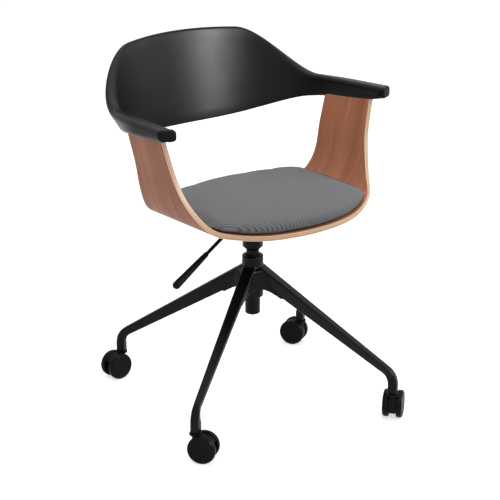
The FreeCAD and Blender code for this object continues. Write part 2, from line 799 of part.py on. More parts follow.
def cushion_outline(inset, z):
    """Closed outline of the cushion, drawn in by inset: front and rear arcs, corner arcs and sides."""
    half = cushion_half_width - inset
    front = front_radius - cushion_edge_gap - inset, front_y + front_radius, cushion_front_corner, -1
    rear = cushion_rear_radius - inset, cushion_rear_y - cushion_rear_radius, cushion_rear_corner, 1
    edges, side_ends = [], []
    for big, middle_y, corner, away in (front, rear):
        small = max(corner - inset, cushion_least_corner)
        small_x = half - small
        run = math.sqrt((big - small) ** 2 - small_x ** 2)
        small_y = middle_y + away * run
        start = math.atan2(small_x, run)
        side_ends.append(small_y)
        meet = Vector(big * math.sin(start), middle_y + away * big * math.cos(start), z)
        crown = Vector(0, middle_y + away * big, z)
        edges.append(Part.Arc(Vector(-meet.x, meet.y, z), crown, meet).toShape())
        turn = (start + math.pi / 2) / 2
        middle_x, middle_y = small_x + small * math.sin(turn), small_y + away * small * math.cos(turn)
        for side in (-1, 1):
            places = (meet.x, meet.y), (middle_x, middle_y), (half, small_y)
            edges.append(Part.Arc(*[Vector(side * x, y, z) for x, y in places]).toShape())
    for side in (-1, 1):
        edges.append(Part.LineSegment(*[Vector(side * half, y, z) for y in side_ends]).toShape())
    return Part.Wire(Part.__sortEdges__(edges))


def make_cushion():
    """Crowned pad whose sides draw in, resting on the curved seat, over its fixing board."""
    base = seat_inner_z - cushion_sink
    side = seat_inner_z + cushion_side_height
    levels = [(cushion_base_inset, base), (0.0, base + cushion_base_rise)]
    for step in range(6):
        turn = math.radians(step * 15.0)
        inset = cushion_crown_run * (1 - math.cos(turn))
        levels.append((inset, side + cushion_crown * math.sin(turn)))
    pad = Part.makeLoft([cushion_outline(inset, z) for inset, z in levels], True, True)
    pad = pad.cut(seat_waste())
    board_top = seat_inner_z + soft_clearance + board_thickness
    pocket = rounded_block(board_length + 2 * board_clearance, board_width + 2 * board_clearance, board_corner,
                           base - 5, board_top + soft_clearance)
    pad = pad.cut(pocket)
    room = tee_nut_diameter + 2 * board_clearance
    room_top = board_top + tee_nut_flange + bolt_diameter
    for x, y in bolt_places:
        pad = pad.cut(cylinder(room, base, room_top, x, y))
    save("seat_cushion", pad)
    board = rounded_block(board_length, board_width, board_corner, seat_inner_z + soft_clearance, board_top)
    nuts, bolts = [], []
    for x, y in bolt_places:
        board = board.cut(cylinder(tee_nut_barrel, seat_inner_z, board_top + 1, x, y))
        nut = cylinder(tee_nut_diameter, board_top, board_top + tee_nut_flange, x, y)
        nut = nut.fuse(cylinder(tee_nut_barrel, seat_inner_z + soft_clearance, board_top, x, y))
        nuts.append(nut.cut(cylinder(bolt_diameter, seat_inner_z - 1, board_top + 5, x, y)).removeSplitter())
        head = cylinder(bolt_head_diameter, plate_bottom_z - bolt_head_height, plate_bottom_z, x, y)
        shank = cylinder(bolt_diameter, plate_bottom_z, board_top + tee_nut_flange + 1, x, y)
        bolts.append(head.fuse(shank).removeSplitter())
    save("cushion_board", board)
    save("tee_nuts", Part.makeCompound(nuts))
    save("seat_bolts", Part.makeCompound(bolts))


def seat_waste():
    """Everything below and beside the seat's inner face, less the cushion's clearance."""
    place = sheet_place(front_y - 40)
    edges = shell_section.edges(soft_clearance, place)
    reach = 2 * cushion_half_width
    ends = []
    for sign in (-1, 1):
        x, z, _ = shell_section.at(sign * shell_section.length, soft_clearance)
        corners = [place(x, z), place(sign * reach, z), place(sign * reach, seat_inner_z - 60)]
        ends.append(Part.makePolygon(corners))
    floor = Part.makePolygon([place(-reach, seat_inner_z - 60), place(reach, seat_inner_z - 60)])
    wire = Part.Wire(Part.__sortEdges__(edges + ends[0].Edges + ends[1].Edges + floor.Edges))
    return Part.Face(wire).extrude(Vector(0, rear_y - front_y + 80, 0))


def caster_body():
    """Nylon body: hood between the wheels, axle boss, and under the foot a flange that clears the wheels."""
    x, z = caster_trail, wheel_radius
    half = wheel_gap / 2 - body_clearance
    across = Vector(0, 1, 0)

    def disc(radius, width):
        return Part.makeCylinder(radius, 2 * width, Vector(x, -width, z), across)

    low, far = math.radians(hood_low_angle), math.radians(hood_far_angle)
    reach = 2 * hood_radius
    sector = [Vector(x, 0, z),
              Vector(x + reach * math.cos(low), 0, z + reach * math.sin(low)),
              Vector(x - reach, 0, z + reach), Vector(x + reach, 0, z + reach),
              Vector(x + reach * math.cos(far), 0, z + reach * math.sin(far))]
    keep = Part.Face(Part.makePolygon(sector + sector[:1])).extrude(Vector(0, 4 * half, 0))
    keep.translate(Vector(0, -2 * half, 0))
    body = disc(hood_radius, half).common(keep)
    flange_bottom = flange_top_z - flange_height
    neck = cylinder(2 * half, z + hood_radius / 2, flange_bottom)
    flange = cylinder(flange_diameter, flange_bottom, flange_top_z)
    room = disc(wheel_radius + body_clearance, flange_diameter).cut(disc(wheel_diameter, half))
    body = body.multiFuse([disc(body_boss_diameter / 2, half), neck, flange.cut(room)])
    body = body.cut(Part.makeCylinder(axle_diameter / 2, 4 * half, Vector(x, -2 * half, z), across))
    body = body.cut(cylinder(stem_diameter, flange_top_z - stem_in_body, flange_top_z + 1))
    return body.removeSplitter()


def wheel(side):
    """One wheel with a blind bore for the axle's end."""
    near = wheel_gap / 2
    bore = axle_diameter / 2 + running_clearance
    end = near + axle_overhang
    outline = [(bore, near), (wheel_radius, near), (wheel_radius, near + wheel_width),
               (0.0, near + wheel_width), (0.0, end), (bore, end)]
    return revolve_y([(r, side * y) for r, y in outline], caster_trail, wheel_radius)


def make_casters():
    half_axle = wheel_gap / 2 + axle_overhang - axle_end_gap
    axle = Part.makeCylinder(axle_diameter / 2, 2 * half_axle,
                             Vector(caster_trail, -half_axle, wheel_radius), Vector(0, 1, 0))
    stem = cylinder(stem_diameter, flange_top_z - stem_in_body, foot_bottom_z + stem_in_leg - stem_end_gap)
    bore = cylinder(stem_diameter + 2 * running_clearance, foot_bottom_z - 1, foot_bottom_z + stem_in_leg)
    sleeve = cylinder(sleeve_diameter, foot_bottom_z, sleeve_top()).cut(bore)
    pieces = {"body": caster_body(), "stem": stem, "axle": axle,
              "wheel_a": wheel(1), "wheel_b": wheel(-1)}
    sleeves = []
    for number, (leg, heading) in enumerate(zip(leg_angles, caster_headings), start=1):
        x = foot_radius * math.cos(math.radians(leg))
        y = foot_radius * math.sin(math.radians(leg))
        sleeves.append(turned(sleeve, 0, x, y))
        for name, shape in pieces.items():
            save(f"caster_{number}_{name}", turned(shape, heading, x, y))
    save("stem_sleeves", Part.makeCompound(sleeves))


os.makedirs("parts", exist_ok=True)
save("base_casting", make_base())
make_column()
make_gas_cylinder()
make_seat_plate()
make_lever()
make_shell()
make_back()
make_cushion()
make_casters()
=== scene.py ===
import math

import bpy
from mathutils import Matrix, Vector


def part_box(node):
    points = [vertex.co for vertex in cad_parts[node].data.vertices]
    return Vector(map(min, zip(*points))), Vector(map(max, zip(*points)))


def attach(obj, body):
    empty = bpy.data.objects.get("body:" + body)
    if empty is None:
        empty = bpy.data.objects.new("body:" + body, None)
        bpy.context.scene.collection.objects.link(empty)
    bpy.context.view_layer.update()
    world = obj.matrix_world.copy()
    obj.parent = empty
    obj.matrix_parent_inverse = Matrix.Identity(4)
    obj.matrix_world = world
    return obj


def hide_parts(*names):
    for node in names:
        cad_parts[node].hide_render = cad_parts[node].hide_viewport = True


bl_info = {
    "name": "Swivel Armchair",
    "version": (1, 0, 0),
    "blender": (4, 5, 0),
    "location": "3D View > Sidebar > Armchair",
    "description": "Models and finishes a plywood swivel armchair on its packed frame",
    "category": "Add Mesh",
}

# Metres, +Z up, the sitter faces -Y, origin on the floor under the column.
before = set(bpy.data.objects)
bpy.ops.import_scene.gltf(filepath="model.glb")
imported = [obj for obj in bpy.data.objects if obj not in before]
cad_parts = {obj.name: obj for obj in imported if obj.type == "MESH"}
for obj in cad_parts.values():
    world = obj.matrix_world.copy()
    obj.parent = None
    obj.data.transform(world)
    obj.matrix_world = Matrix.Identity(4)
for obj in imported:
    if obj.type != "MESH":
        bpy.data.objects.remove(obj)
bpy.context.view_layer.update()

UP = Vector((0, 0, 1))
# Sizes that the settings start from and that outlines and finishes further down are drawn to.
SEAT_HEIGHT = 0.4524
FRONT_REACH = 0.2137
REAR_REACH = 0.138
PLY_THICKNESS = 0.0105
LEVER_SLOPE = 32.9


def length(name, description, default):
    """A length setting in metres."""
    return bpy.props.FloatProperty(name=name, description=description, default=default, min=0.0,
                                   precision=4, unit="LENGTH", subtype="DISTANCE")


def angle(name, description, degrees):
    """An angle setting, its default given in degrees."""
    return bpy.props.FloatProperty(name=name, description=description, default=math.radians(degrees),
                                   unit="ROTATION", subtype="ANGLE")


def colour(name, description, default):
    """A colour setting."""
    return bpy.props.FloatVectorProperty(name=name, description=description, default=default, size=3,
                                         min=0.0, max=1.0, subtype="COLOR")


class BackSizes(bpy.types.PropertyGroup):
    """Sizes of the moulded back that runs into the arms"""
    crest_top: length("Crest height", "Height of the middle of the crest above the floor", 0.782)
    crown: length("Crown", "How much the crest falls before the shoulders", 0.005)
    middle_bottom: length("Bottom height", "Height of the back's lower edge in the middle", 0.583)
    arm_top: length("Arm height", "Height of the armrests at the shoulders", 0.6755)
    arm_top_rise: length("Arm rise", "How much the armrests rise to their tips", 0.004)
    arm_bottom: length("Arm underside", "Height of the armrests' underside at the plywood", 0.626)
    rim_width: length("Rim width", "Width of the crest's rim", 0.013)
    root_width: length("Arm root width", "Width of an armrest where it leaves the back", 0.032)
    tip_width: length("Arm tip width", "Width of an armrest at its tip", 0.035)
    lean: length("Lean", "How far the back's lower edge stands inside its crest", 0.040)
    tip_slant: angle("Tip slant", "How far the arm's end face turns outward", 19.0)


class ShellSizes(bpy.types.PropertyGroup):
    """Sizes of the bent plywood shell"""
    thickness: length("Thickness", "Thickness of the plywood", PLY_THICKNESS)
    seat_height: length("Seat height", "Height of the shell's inner face in the middle", SEAT_HEIGHT)
    edge_round: length("Edge rounding", "Radius that the sanded edges have", 0.0008)
    front: length("Front reach", "Distance of the front edge from the column", FRONT_REACH)
    rear: length("Rear reach", "Distance of the rear edge from the column", REAR_REACH)


class CushionSizes(bpy.types.PropertyGroup):
    """Sizes of the seat cushion"""
    half_width: length("Half width", "Half of the cushion's width", 0.213)
    side_height: length("Side height", "Height of the side above the shell", 0.0165)
    crown: length("Crown", "Height of the crown over the sides", 0.0185)
    crown_run: length("Crown run", "Distance from the edge to the flat of the crown", 0.150)
    pressure: bpy.props.FloatProperty(name="Pressure", description="Pressure of the stuffing when it swells",
                                      default=2.5, min=0.0)
    swell: length("Swell", "How far the cloth may move when it is stuffed", 0.004)
    clearance: length("Clearance", "Gap between the cushion and the shell", 0.0006)
    rib_pitch: length("Rib pitch", "Distance between the ribs of the woven cloth", 0.0045)


class BaseSizes(bpy.types.PropertyGroup):
    """Finish of the cast base"""
    grain: length("Casting grid", "Grid on which the casting's edges are blended", 0.0016)
    edge_round: length("Edge rounding", "Radius of the edges on the steel pieces", 0.0006)


class CasterSizes(bpy.types.PropertyGroup):
    """Sizes of the twin-wheel casters"""
    wheel: length("Wheel diameter", "Diameter of a wheel over its tread", 0.060)
    width: length("Wheel width", "Width of one wheel", 0.013)
    gap: length("Wheel gap", "Gap between the two wheels", 0.017)
    trail: length("Trail", "Distance of the axle from the swivel axis", 0.0165)
    foot_radius: length("Foot radius", "Distance of the swivel axes from the column", 0.3218)
    ribs: bpy.props.IntProperty(name="Ribs", description="Ribs inside each wheel", default=20, min=6, max=40)


class LeverSizes(bpy.types.PropertyGroup):
    """Sizes of the lift lever"""
    root: length("Grip root", "Diameter of the grip at its collar", 0.0115)
    end: length("Grip end", "Diameter of the grip near its tip", 0.0172)
    grip: length("Grip length", "Length of the grip", 0.103)
    slope: angle("Slope", "How far the lever slopes down from level", LEVER_SLOPE)


class Finishes(bpy.types.PropertyGroup):
    """Colours of the finishes"""
    moulding: colour("Moulding", "Black skin of the back and arms", (0.0048, 0.0048, 0.0054))
    coating: colour("Powder coat", "Coating on the base, column and lever", (0.0034, 0.0031, 0.0033))
    nylon: colour("Nylon", "Casters, grip and arm caps", (0.0032, 0.0032, 0.0035))
    veneer_light: colour("Veneer, light", "Light tone of the veneer", (0.425, 0.172, 0.094))
    veneer_dark: colour("Veneer, dark", "Dark tone of the veneer", (0.243, 0.088, 0.047))
    ply_light: colour("Ply edge, light", "Light plies on the sawn edge", (0.68, 0.465, 0.30))
    ply_dark: colour("Ply edge, dark", "Dark plies on the sawn edge", (0.36, 0.195, 0.11))
    cloth_light: colour("Cloth, light", "Light thread of the cushion", (0.160, 0.161, 0.168))
    cloth_dark: colour("Cloth, dark", "Dark thread of the cushion", (0.034, 0.035, 0.038))


class StageSizes(bpy.types.PropertyGroup):
    """Floor, lights and camera"""
    distance: length("Camera distance", "Distance of the camera from its target", 3.1264)
    azimuth: angle("Azimuth", "Camera's turn round the chair", -38.90)
    elevation: angle("Elevation", "Camera's angle above level", 19.63)
    lens: bpy.props.FloatProperty(name="Lens", description="Focal length in millimetres", default=104.54)


# Selection and finishing

def deselect():
    """Return to object mode with nothing selected."""
    if bpy.context.object and bpy.context.object.mode != "OBJECT":
        bpy.ops.object.mode_set(mode="OBJECT")
    bpy.ops.object.select_all(action="DESELECT")


def take(obj):
    """Make obj the only selected and the active object."""
    deselect()
    obj.select_set(True)
    bpy.context.view_layer.objects.active = obj
    return obj


def edit(obj):
    """Open obj in edit mode with everything selected."""
    take(obj)
    bpy.ops.object.mode_set(mode="EDIT")
    bpy.ops.mesh.select_all(action="SELECT")


def done_editing():
    """Leave edit mode."""
    bpy.ops.object.mode_set(mode="OBJECT")


def named(name):
    """Name the active object and its mesh."""
    obj = bpy.context.active_object
    obj.name = name
    obj.data.name = name
    return obj


def modify(obj, kind, **settings):
    """Add a modifier, set it and apply it."""
    take(obj)
    modifier = obj.modifiers.new(kind.title(), kind)
    for key, value in settings.items():
        setattr(modifier, key, value)
    bpy.ops.object.modifier_apply(modifier=modifier.name)


def settle(obj):
    """Put the object's place into its mesh."""
    take(obj)
    bpy.ops.object.transform_apply(location=True, rotation=True, scale=True)


def smooth_shading(obj, degrees=35.0):
    """Shade smooth, but keep edges sharper than degrees."""
    take(obj)
    bpy.ops.object.shade_smooth_by_angle(angle=math.radians(degrees))


def join(objects, name):
    """Join objects into the first of them."""
    deselect()
    for obj in objects:
        obj.select_set(True)
    bpy.context.view_layer.objects.active = objects[0]
    bpy.ops.object.join()
    return named(name)


def copy_of(obj, name, matrix):
    """A copy with its own mesh, moved by matrix."""
    twin = bpy.data.objects.new(name, obj.data.copy())
    twin.data.name = name
    bpy.context.scene.collection.objects.link(twin)
    twin.data.transform(matrix)
    if matrix.determinant() < 0:
        twin.data.flip_normals()
    return twin


def dress(obj, body, nodes, materials, degrees=35.0):
    """Finish a piece: materials, smooth shading, the body that it rides on and the nodes that it replaces."""
    settle(obj)
    if len(obj.data.materials):
        obj.data.materials.clear()
    for material in materials:
        obj.data.materials.append(material)
    smooth_shading(obj, degrees)
    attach(obj, body)
    if nodes:
        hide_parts(*nodes)
    return obj


# Shapes

def smooth(t):
    t = min(max(t, 0.0), 1.0)
    return t * t * (3 - 2 * t)


class BentPath:
    """Lines and arcs that join without a corner, the same on both sides of the middle."""

    def __init__(self, height, pieces):
        self.knots = [(0.0, 0.0, height, 0.0)]
        for run, heading in pieces:
            s, u, v, start = self.knots[-1]
            self.knots.append((s + run, *self._walk(u, v, start, math.radians(heading), run, 1.0)))
        self.length = self.knots[-1][0]

    @staticmethod
    def _walk(u, v, start, end, run, part):
        turn = (end - start) * part
        if abs(turn) < 1e-9:
            return u + run * part * math.cos(start), v + run * part * math.sin(start), start
        radius = run * part / turn
        now = start + turn
        return (u + radius * (math.sin(now) - math.sin(start)),
                v + radius * (math.cos(start) - math.cos(now)), now)

    def at(self, s, offset=0.0):
        """The point at s, moved by offset to the left of the path, and the heading there."""
        side = -1.0 if s < 0 else 1.0
        s = abs(s)
        index = 0
        while index < len(self.knots) - 2 and s > self.knots[index + 1][0]:
            index += 1
        s0, u0, v0, h0 = self.knots[index]
        s1, _, _, h1 = self.knots[index + 1]
        u, v, heading = self._walk(u0, v0, h0, h1, s1 - s0, (s - s0) / (s1 - s0))
        return side * (u - offset * math.sin(heading)), v + offset * math.cos(heading), side * heading

    def height_at(self, u):
        """The path's v where it is u away from the middle."""
        low, high = 0.0, self.length
        for _ in range(30):
            middle = (low + high) / 2
            if self.at(middle)[0] < abs(u):
                low = middle
            else:
                high = middle
        return self.at(low)[1]


def arc(radius, start, end):
    """Length of an arc between two headings in degrees."""
    return radius * abs(math.radians(end - start))


def even(start, end, gap):
    """Evenly spaced numbers from start to end, at most gap apart."""
    count = max(1, math.ceil(abs(end - start) / gap))
    return [start + (end - start) * i / count for i in range(count + 1)]


def rounded_loop(corners, radii, arc_steps, line_steps):
    """Points round a closed outline with rounded corners, and the side that each next stretch is on.

    A stretch on a rounded corner counts as -1, one on the line after corner i as i.
    """
    points, sides = [], []
    count = len(corners)
    for i, corner in enumerate(corners):
        back = (corners[i - 1] - corner).normalized()
        ahead = (corners[(i + 1) % count] - corner).normalized()
        half = back.angle(ahead) / 2
        reach = radii[i] / math.tan(half)
        bisector = (back + ahead).normalized()
        centre = corner + bisector * (radii[i] / math.sin(half))
        enter = corner + back * reach - centre
        leave = corner + ahead * reach - centre
        opening = enter.angle(leave)
        for step in range(arc_steps + 1):
            t = step / arc_steps
            a, b = math.sin((1 - t) * opening), math.sin(t * opening)
            points.append(centre + (enter * a + leave * b) / math.sin(opening))
            sides.append(-1)
        sides[-1] = i
        following = corners[(i + 1) % count]
        ahead_of = (corners[(i + 2) % count] - following).normalized()
        half = (-ahead).angle(ahead_of) / 2
        finish = following - ahead * (radii[(i + 1) % count] / math.tan(half))
        begin = centre + leave
        for step in range(1, line_steps[i]):
            points.append(begin.lerp(finish, step / line_steps[i]))
            sides.append(i)
    return points, sides


def loft(name, rings, places=None, maps=None):
    """A grid bent through closed rings of points, with its seam joined and its ends filled.

    places gives a material index for each stretch of a ring. maps gives UV maps, each a list of
    rings of (u, v) with one value more than the ring has points.
    """
    rings = [ring + ring[:1] for ring in rings]
    across, along = len(rings[0]), len(rings)
    deselect()
    bpy.ops.mesh.primitive_grid_add(x_subdivisions=across - 1, y_subdivisions=along - 1, size=1.0)
    obj = named(name)
    mesh = obj.data
    if len(mesh.vertices) != across * along:
        raise RuntimeError(f"{name}: the grid has {len(mesh.vertices)} points, not {across * along}")
    mesh.vertices.foreach_set("co", [c for ring in rings for point in ring for c in point])
    if places:
        for polygon in mesh.polygons:
            column = min(v % across for v in polygon.vertices)
            polygon.material_index = places[column]
    for title, rows in (maps or {}).items():
        layer = mesh.uv_layers.get(title) or mesh.uv_layers.new(name=title)
        flat = [value for row in rows for value in row]
        for loop in mesh.loops:
            layer.data[loop.index].uv = flat[loop.vertex_index]
    mesh.update()
    edit(obj)
    bpy.ops.mesh.remove_doubles(threshold=1e-6)
    bpy.ops.mesh.select_all(action="DESELECT")
    bpy.ops.mesh.select_mode(type="EDGE")
    bpy.ops.mesh.select_non_manifold(extend=False, use_wire=False, use_boundary=True,
                                     use_multi_face=False, use_non_contiguous=False, use_verts=False)
    bpy.ops.mesh.fill_holes(sides=0)
    bpy.ops.mesh.select_all(action="SELECT")
    bpy.ops.mesh.normals_make_consistent(inside=False)
    done_editing()
    return obj


def lathe(name, outline, steps):
    """A circle extruded ring by ring through (radius, height) points about +Z."""
    deselect()
    first_radius, first_height = outline[0]
    bpy.ops.mesh.primitive_circle_add(vertices=steps, radius=first_radius, fill_type="NOTHING",
                                      location=(0, 0, first_height))
    obj = named(name)
    settle(obj)
    edit(obj)
    for (r0, z0), (r1, z1) in zip(outline[:-1], outline[1:]):
        bpy.ops.mesh.extrude_edges_move(TRANSFORM_OT_translate={"value": (0, 0, z1 - z0)})
        if abs(r1 - r0) > 1e-9:
            bpy.ops.transform.resize(value=(r1 / r0, r1 / r0, 1.0), center_override=(0, 0, z1))
    bpy.ops.mesh.select_all(action="SELECT")
    bpy.ops.mesh.remove_doubles(threshold=1e-6)
    bpy.ops.mesh.fill_holes(sides=0)
    bpy.ops.mesh.select_all(action="SELECT")
    bpy.ops.mesh.normals_make_consistent(inside=False)
    done_editing()
    return obj


def merged_copy(node, name):
    """A copy of a CAD node with its triangles merged and its flat faces joined."""
    obj = copy_of(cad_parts[node], name, Matrix.Identity(4))
    obj.hide_render = False
    take(obj)
    bpy.ops.mesh.customdata_custom_splitnormals_clear()
    edit(obj)
    bpy.ops.mesh.remove_doubles(threshold=1e-6)
    bpy.ops.mesh.select_all(action="SELECT")
    bpy.ops.mesh.dissolve_limited(angle_limit=math.radians(1.0))
    bpy.ops.mesh.select_all(action="SELECT")
    bpy.ops.mesh.normals_make_consistent(inside=False)
    done_editing()
    return obj


def ease(node, body, finish, width):
    """Dress a merged copy of a CAD node whose sharp edges are rounded."""
    obj = merged_copy(node, node + "_eased")
    modify(obj, "BEVEL", width=width, segments=2, limit_method="ANGLE",
           angle_limit=math.radians(32.0), use_clamp_overlap=True)
    return dress(obj, body, [node], [finish_of(finish)])


# Shader groups and materials

def group(title, inputs, outputs):
    """An empty shader node group with its named sockets; returns tree, adder of nodes, and its ends."""
    tree = bpy.data.node_groups.new(title, "ShaderNodeTree")
    for name, kind, default in inputs:
        socket = tree.interface.new_socket(name=name, in_out="INPUT", socket_type=kind)
        if default is not None:
            socket.default_value = default
    for name, kind in outputs:
        tree.interface.new_socket(name=name, in_out="OUTPUT", socket_type=kind)
    return tree, tree.nodes.new("NodeGroupInput"), tree.nodes.new("NodeGroupOutput")


def node(tree, kind, **settings):
    """Add a node; settings named like its sockets are values or links, the others are its options."""
    made = tree.nodes.new(kind)
    for key, value in settings.items():
        if key.startswith("in_"):
            index = key[3:]
            socket = made.inputs[int(index)] if index.isdigit() else made.inputs[index.replace("_", " ")]
            if isinstance(value, bpy.types.NodeSocket):
                tree.links.new(value, socket)
            else:
                socket.default_value = value
        else:
            setattr(made, key, value)
    return made


def math_node(tree, operation, *values):
    """Add a Math node on numbers or links."""
    made = tree.nodes.new("ShaderNodeMath")
    made.operation = operation
    for index, value in enumerate(values):
        if isinstance(value, bpy.types.NodeSocket):
            tree.links.new(value, made.inputs[index])
        else:
            made.inputs[index].default_value = value
    return made.outputs[0]


def blend(tree, factor, first, second):
    """The first colour where factor is 0, the second where it is 1."""
    made = tree.nodes.new("ShaderNodeMix")
    made.data_type = "RGBA"
    for index, value in ((0, factor), (6, first), (7, second)):
        if isinstance(value, bpy.types.NodeSocket):
            tree.links.new(value, made.inputs[index])
        else:
            made.inputs[index].default_value = value
    return made.outputs[2]


def spread(tree, value, low, high):
    """Value stretched so that low becomes 0 and high becomes 1."""
    made = tree.nodes.new("ShaderNodeMapRange")
    tree.links.new(value, made.inputs["Value"])
    made.inputs["From Min"].default_value = low
    made.inputs["From Max"].default_value = high
    return made.outputs["Result"]


def make_skin_group():
    """Fine skin of moulded, cast and coated surfaces: pebbled height, cloudy roughness, faint tone."""
    tree, start, end = group("Fine skin", [
        ("Vector", "NodeSocketVector", None),
        ("Colour", "NodeSocketColor", (0.02, 0.02, 0.02, 1)),
        ("Pebble size", "NodeSocketFloat", 1500.0),
        ("Roughness", "NodeSocketFloat", 0.45),
        ("Roughness spread", "NodeSocketFloat", 0.08),
        ("Tone spread", "NodeSocketFloat", 0.2)],
        [("Colour", "NodeSocketColor"), ("Roughness", "NodeSocketFloat"), ("Height", "NodeSocketFloat")])
    vector, tint, pebble, rough, rough_spread, tone = start.outputs[:6]
    cells = node(tree, "ShaderNodeTexVoronoi", in_Vector=vector, in_Scale=pebble, feature="SMOOTH_F1")
    fine = node(tree, "ShaderNodeTexNoise", in_Vector=vector, in_Scale=pebble, in_Detail=2.0)
    cloud = node(tree, "ShaderNodeTexNoise", in_Vector=vector, in_Scale=14.0, in_Detail=4.0)
    rub = node(tree, "ShaderNodeTexNoise", in_Vector=vector, in_Scale=90.0, in_Detail=3.0)
    height = math_node(tree, "ADD", cells.outputs["Distance"], fine.outputs[0])
    tree.links.new(height, end.inputs["Height"])
    mixed = math_node(tree, "MULTIPLY_ADD", rub.outputs[0], 0.4, cloud.outputs[0])
    offset = math_node(tree, "SUBTRACT", mixed, 0.7)
    change = math_node(tree, "MULTIPLY", offset, rough_spread)
    tree.links.new(math_node(tree, "MULTIPLY_ADD", change, 2.0, rough), end.inputs["Roughness"])
    level = math_node(tree, "MULTIPLY_ADD", offset, tone, 1.0)
    scale = tree.nodes.new("ShaderNodeVectorMath")
    scale.operation = "SCALE"
    tree.links.new(tint, scale.inputs[0])
    tree.links.new(level, scale.inputs["Scale"])
    tree.links.new(scale.outputs[0], end.inputs["Colour"])
    return tree


def make_grain_group():
    """Wood figure along the first coordinate: broad bands, fine streaks and short dark pores."""
    tree, start, end = group("Wood figure", [
        ("Vector", "NodeSocketVector", None),
        ("Light", "NodeSocketColor", (0.4, 0.2, 0.1, 1)),
        ("Dark", "NodeSocketColor", (0.2, 0.1, 0.05, 1)),
        ("Streak size", "NodeSocketFloat", 1.0),
        ("Pores", "NodeSocketFloat", 0.5)],
        [("Colour", "NodeSocketColor"), ("Roughness", "NodeSocketFloat"), ("Height", "NodeSocketFloat")])
    vector, light, dark, streak, pores = start.outputs[:5]
    broad_at = node(tree, "ShaderNodeMapping", in_Vector=vector, in_Scale=(1.4, 26.0, 26.0))
    broad = node(tree, "ShaderNodeTexNoise", in_Vector=broad_at.outputs[0], in_Scale=streak,
                 in_Detail=3.0, in_Distortion=0.35)
    fine_at = node(tree, "ShaderNodeMapping", in_Vector=vector, in_Scale=(6.0, 330.0, 330.0))
    fine = node(tree, "ShaderNodeTexNoise", in_Vector=fine_at.outputs[0], in_Scale=streak, in_Detail=4.0)
    pore_at = node(tree, "ShaderNodeMapping", in_Vector=vector, in_Scale=(60.0, 1500.0, 1500.0))
    pore = node(tree, "ShaderNodeTexNoise", in_Vector=pore_at.outputs[0], in_Scale=streak, in_Detail=1.0)
    bands = spread(tree, broad.outputs[0], 0.33, 0.67)
    streaks = spread(tree, fine.outputs[0], 0.36, 0.64)
    mixed = math_node(tree, "MULTIPLY_ADD", streaks, 0.45, math_node(tree, "MULTIPLY", bands, 0.55))
    base = blend(tree, mixed, dark, light)
    pits = spread(tree, pore.outputs[0], 0.60, 0.70)
    depth = math_node(tree, "MULTIPLY", pits, pores)
    tree.links.new(blend(tree, depth, base, dark), end.inputs["Colour"])
    tree.links.new(math_node(tree, "MULTIPLY_ADD", mixed, -0.08, 0.47), end.inputs["Roughness"])
    tree.links.new(math_node(tree, "SUBTRACT", streaks, depth), end.inputs["Height"])
    return tree


def make_weave_group():
    """Twill cloth: ribs that run diagonally over two crossing sets of threads."""
    tree, start, end = group("Twill weave", [
        ("Vector", "NodeSocketVector", None),
        ("Light", "NodeSocketColor", (0.2, 0.2, 0.2, 1)),
        ("Dark", "NodeSocketColor", (0.1, 0.1, 0.1, 1)),
        ("Threads", "NodeSocketFloat", 700.0)],
        [("Colour", "NodeSocketColor"), ("Height", "NodeSocketFloat")])
    vector, light, dark, threads = start.outputs[:4]
    apart = node(tree, "ShaderNodeSeparateXYZ", in_Vector=vector)
    u = math_node(tree, "MULTIPLY", apart.outputs[0], threads)
    v = math_node(tree, "MULTIPLY", apart.outputs[1], threads)
    warp = math_node(tree, "ABSOLUTE", math_node(tree, "SINE", math_node(tree, "MULTIPLY", u, math.pi)))
    weft = math_node(tree, "ABSOLUTE", math_node(tree, "SINE", math_node(tree, "MULTIPLY", v, math.pi)))
    step = math_node(tree, "ADD", math_node(tree, "FLOOR", u), math_node(tree, "FLOOR", v))
    over = math_node(tree, "LESS_THAN", math_node(tree, "FLOORED_MODULO", step, 4.0), 2.0)
    under = math_node(tree, "SUBTRACT", 1.0, over)
    height = math_node(tree, "MULTIPLY_ADD", warp, over, math_node(tree, "MULTIPLY", weft, under))
    diagonal = math_node(tree, "MULTIPLY", math_node(tree, "ADD", u, v), math.pi / 2)
    rib = math_node(tree, "MULTIPLY_ADD", math_node(tree, "SINE", diagonal), 0.5, 0.5)
    melange = node(tree, "ShaderNodeTexNoise", in_Vector=vector, in_Scale=420.0, in_Detail=3.0)
    nap = node(tree, "ShaderNodeTexNoise", in_Vector=vector, in_Scale=16.0, in_Detail=3.0)
    tone = math_node(tree, "MULTIPLY", height, 0.25)
    tone = math_node(tree, "MULTIPLY_ADD", rib, 0.58, tone)
    tone = math_node(tree, "MULTIPLY_ADD", spread(tree, melange.outputs[0], 0.3, 0.7), 0.22, tone)
    tone = math_node(tree, "MULTIPLY_ADD", nap.outputs[0], 0.16, tone)
    tree.links.new(blend(tree, tone, dark, light), end.inputs["Colour"])
    tree.links.new(math_node(tree, "MULTIPLY_ADD", rib, 0.7, height), end.inputs["Height"])
    return tree


def bump(tree, height, strength, distance):
    """A normal that is tilted by height."""
    return node(tree, "ShaderNodeBump", in_Height=height, in_Strength=strength,
                in_Distance=distance).outputs[0]


def new_material(title, **constants):
    """A material whose Principled shader has the given constant sockets."""
    material = bpy.data.materials.new(title)
    material.use_nodes = True
    shader = material.node_tree.nodes["Principled BSDF"]
    for name, value in constants.items():
        shader.inputs[name.replace("_", " ")].default_value = value
    return material, material.node_tree, shader


def placed(tree, shared):
    """A node that holds the shared group."""
    made = tree.nodes.new("ShaderNodeGroup")
    made.node_tree = bpy.data.node_groups[shared]
    return made


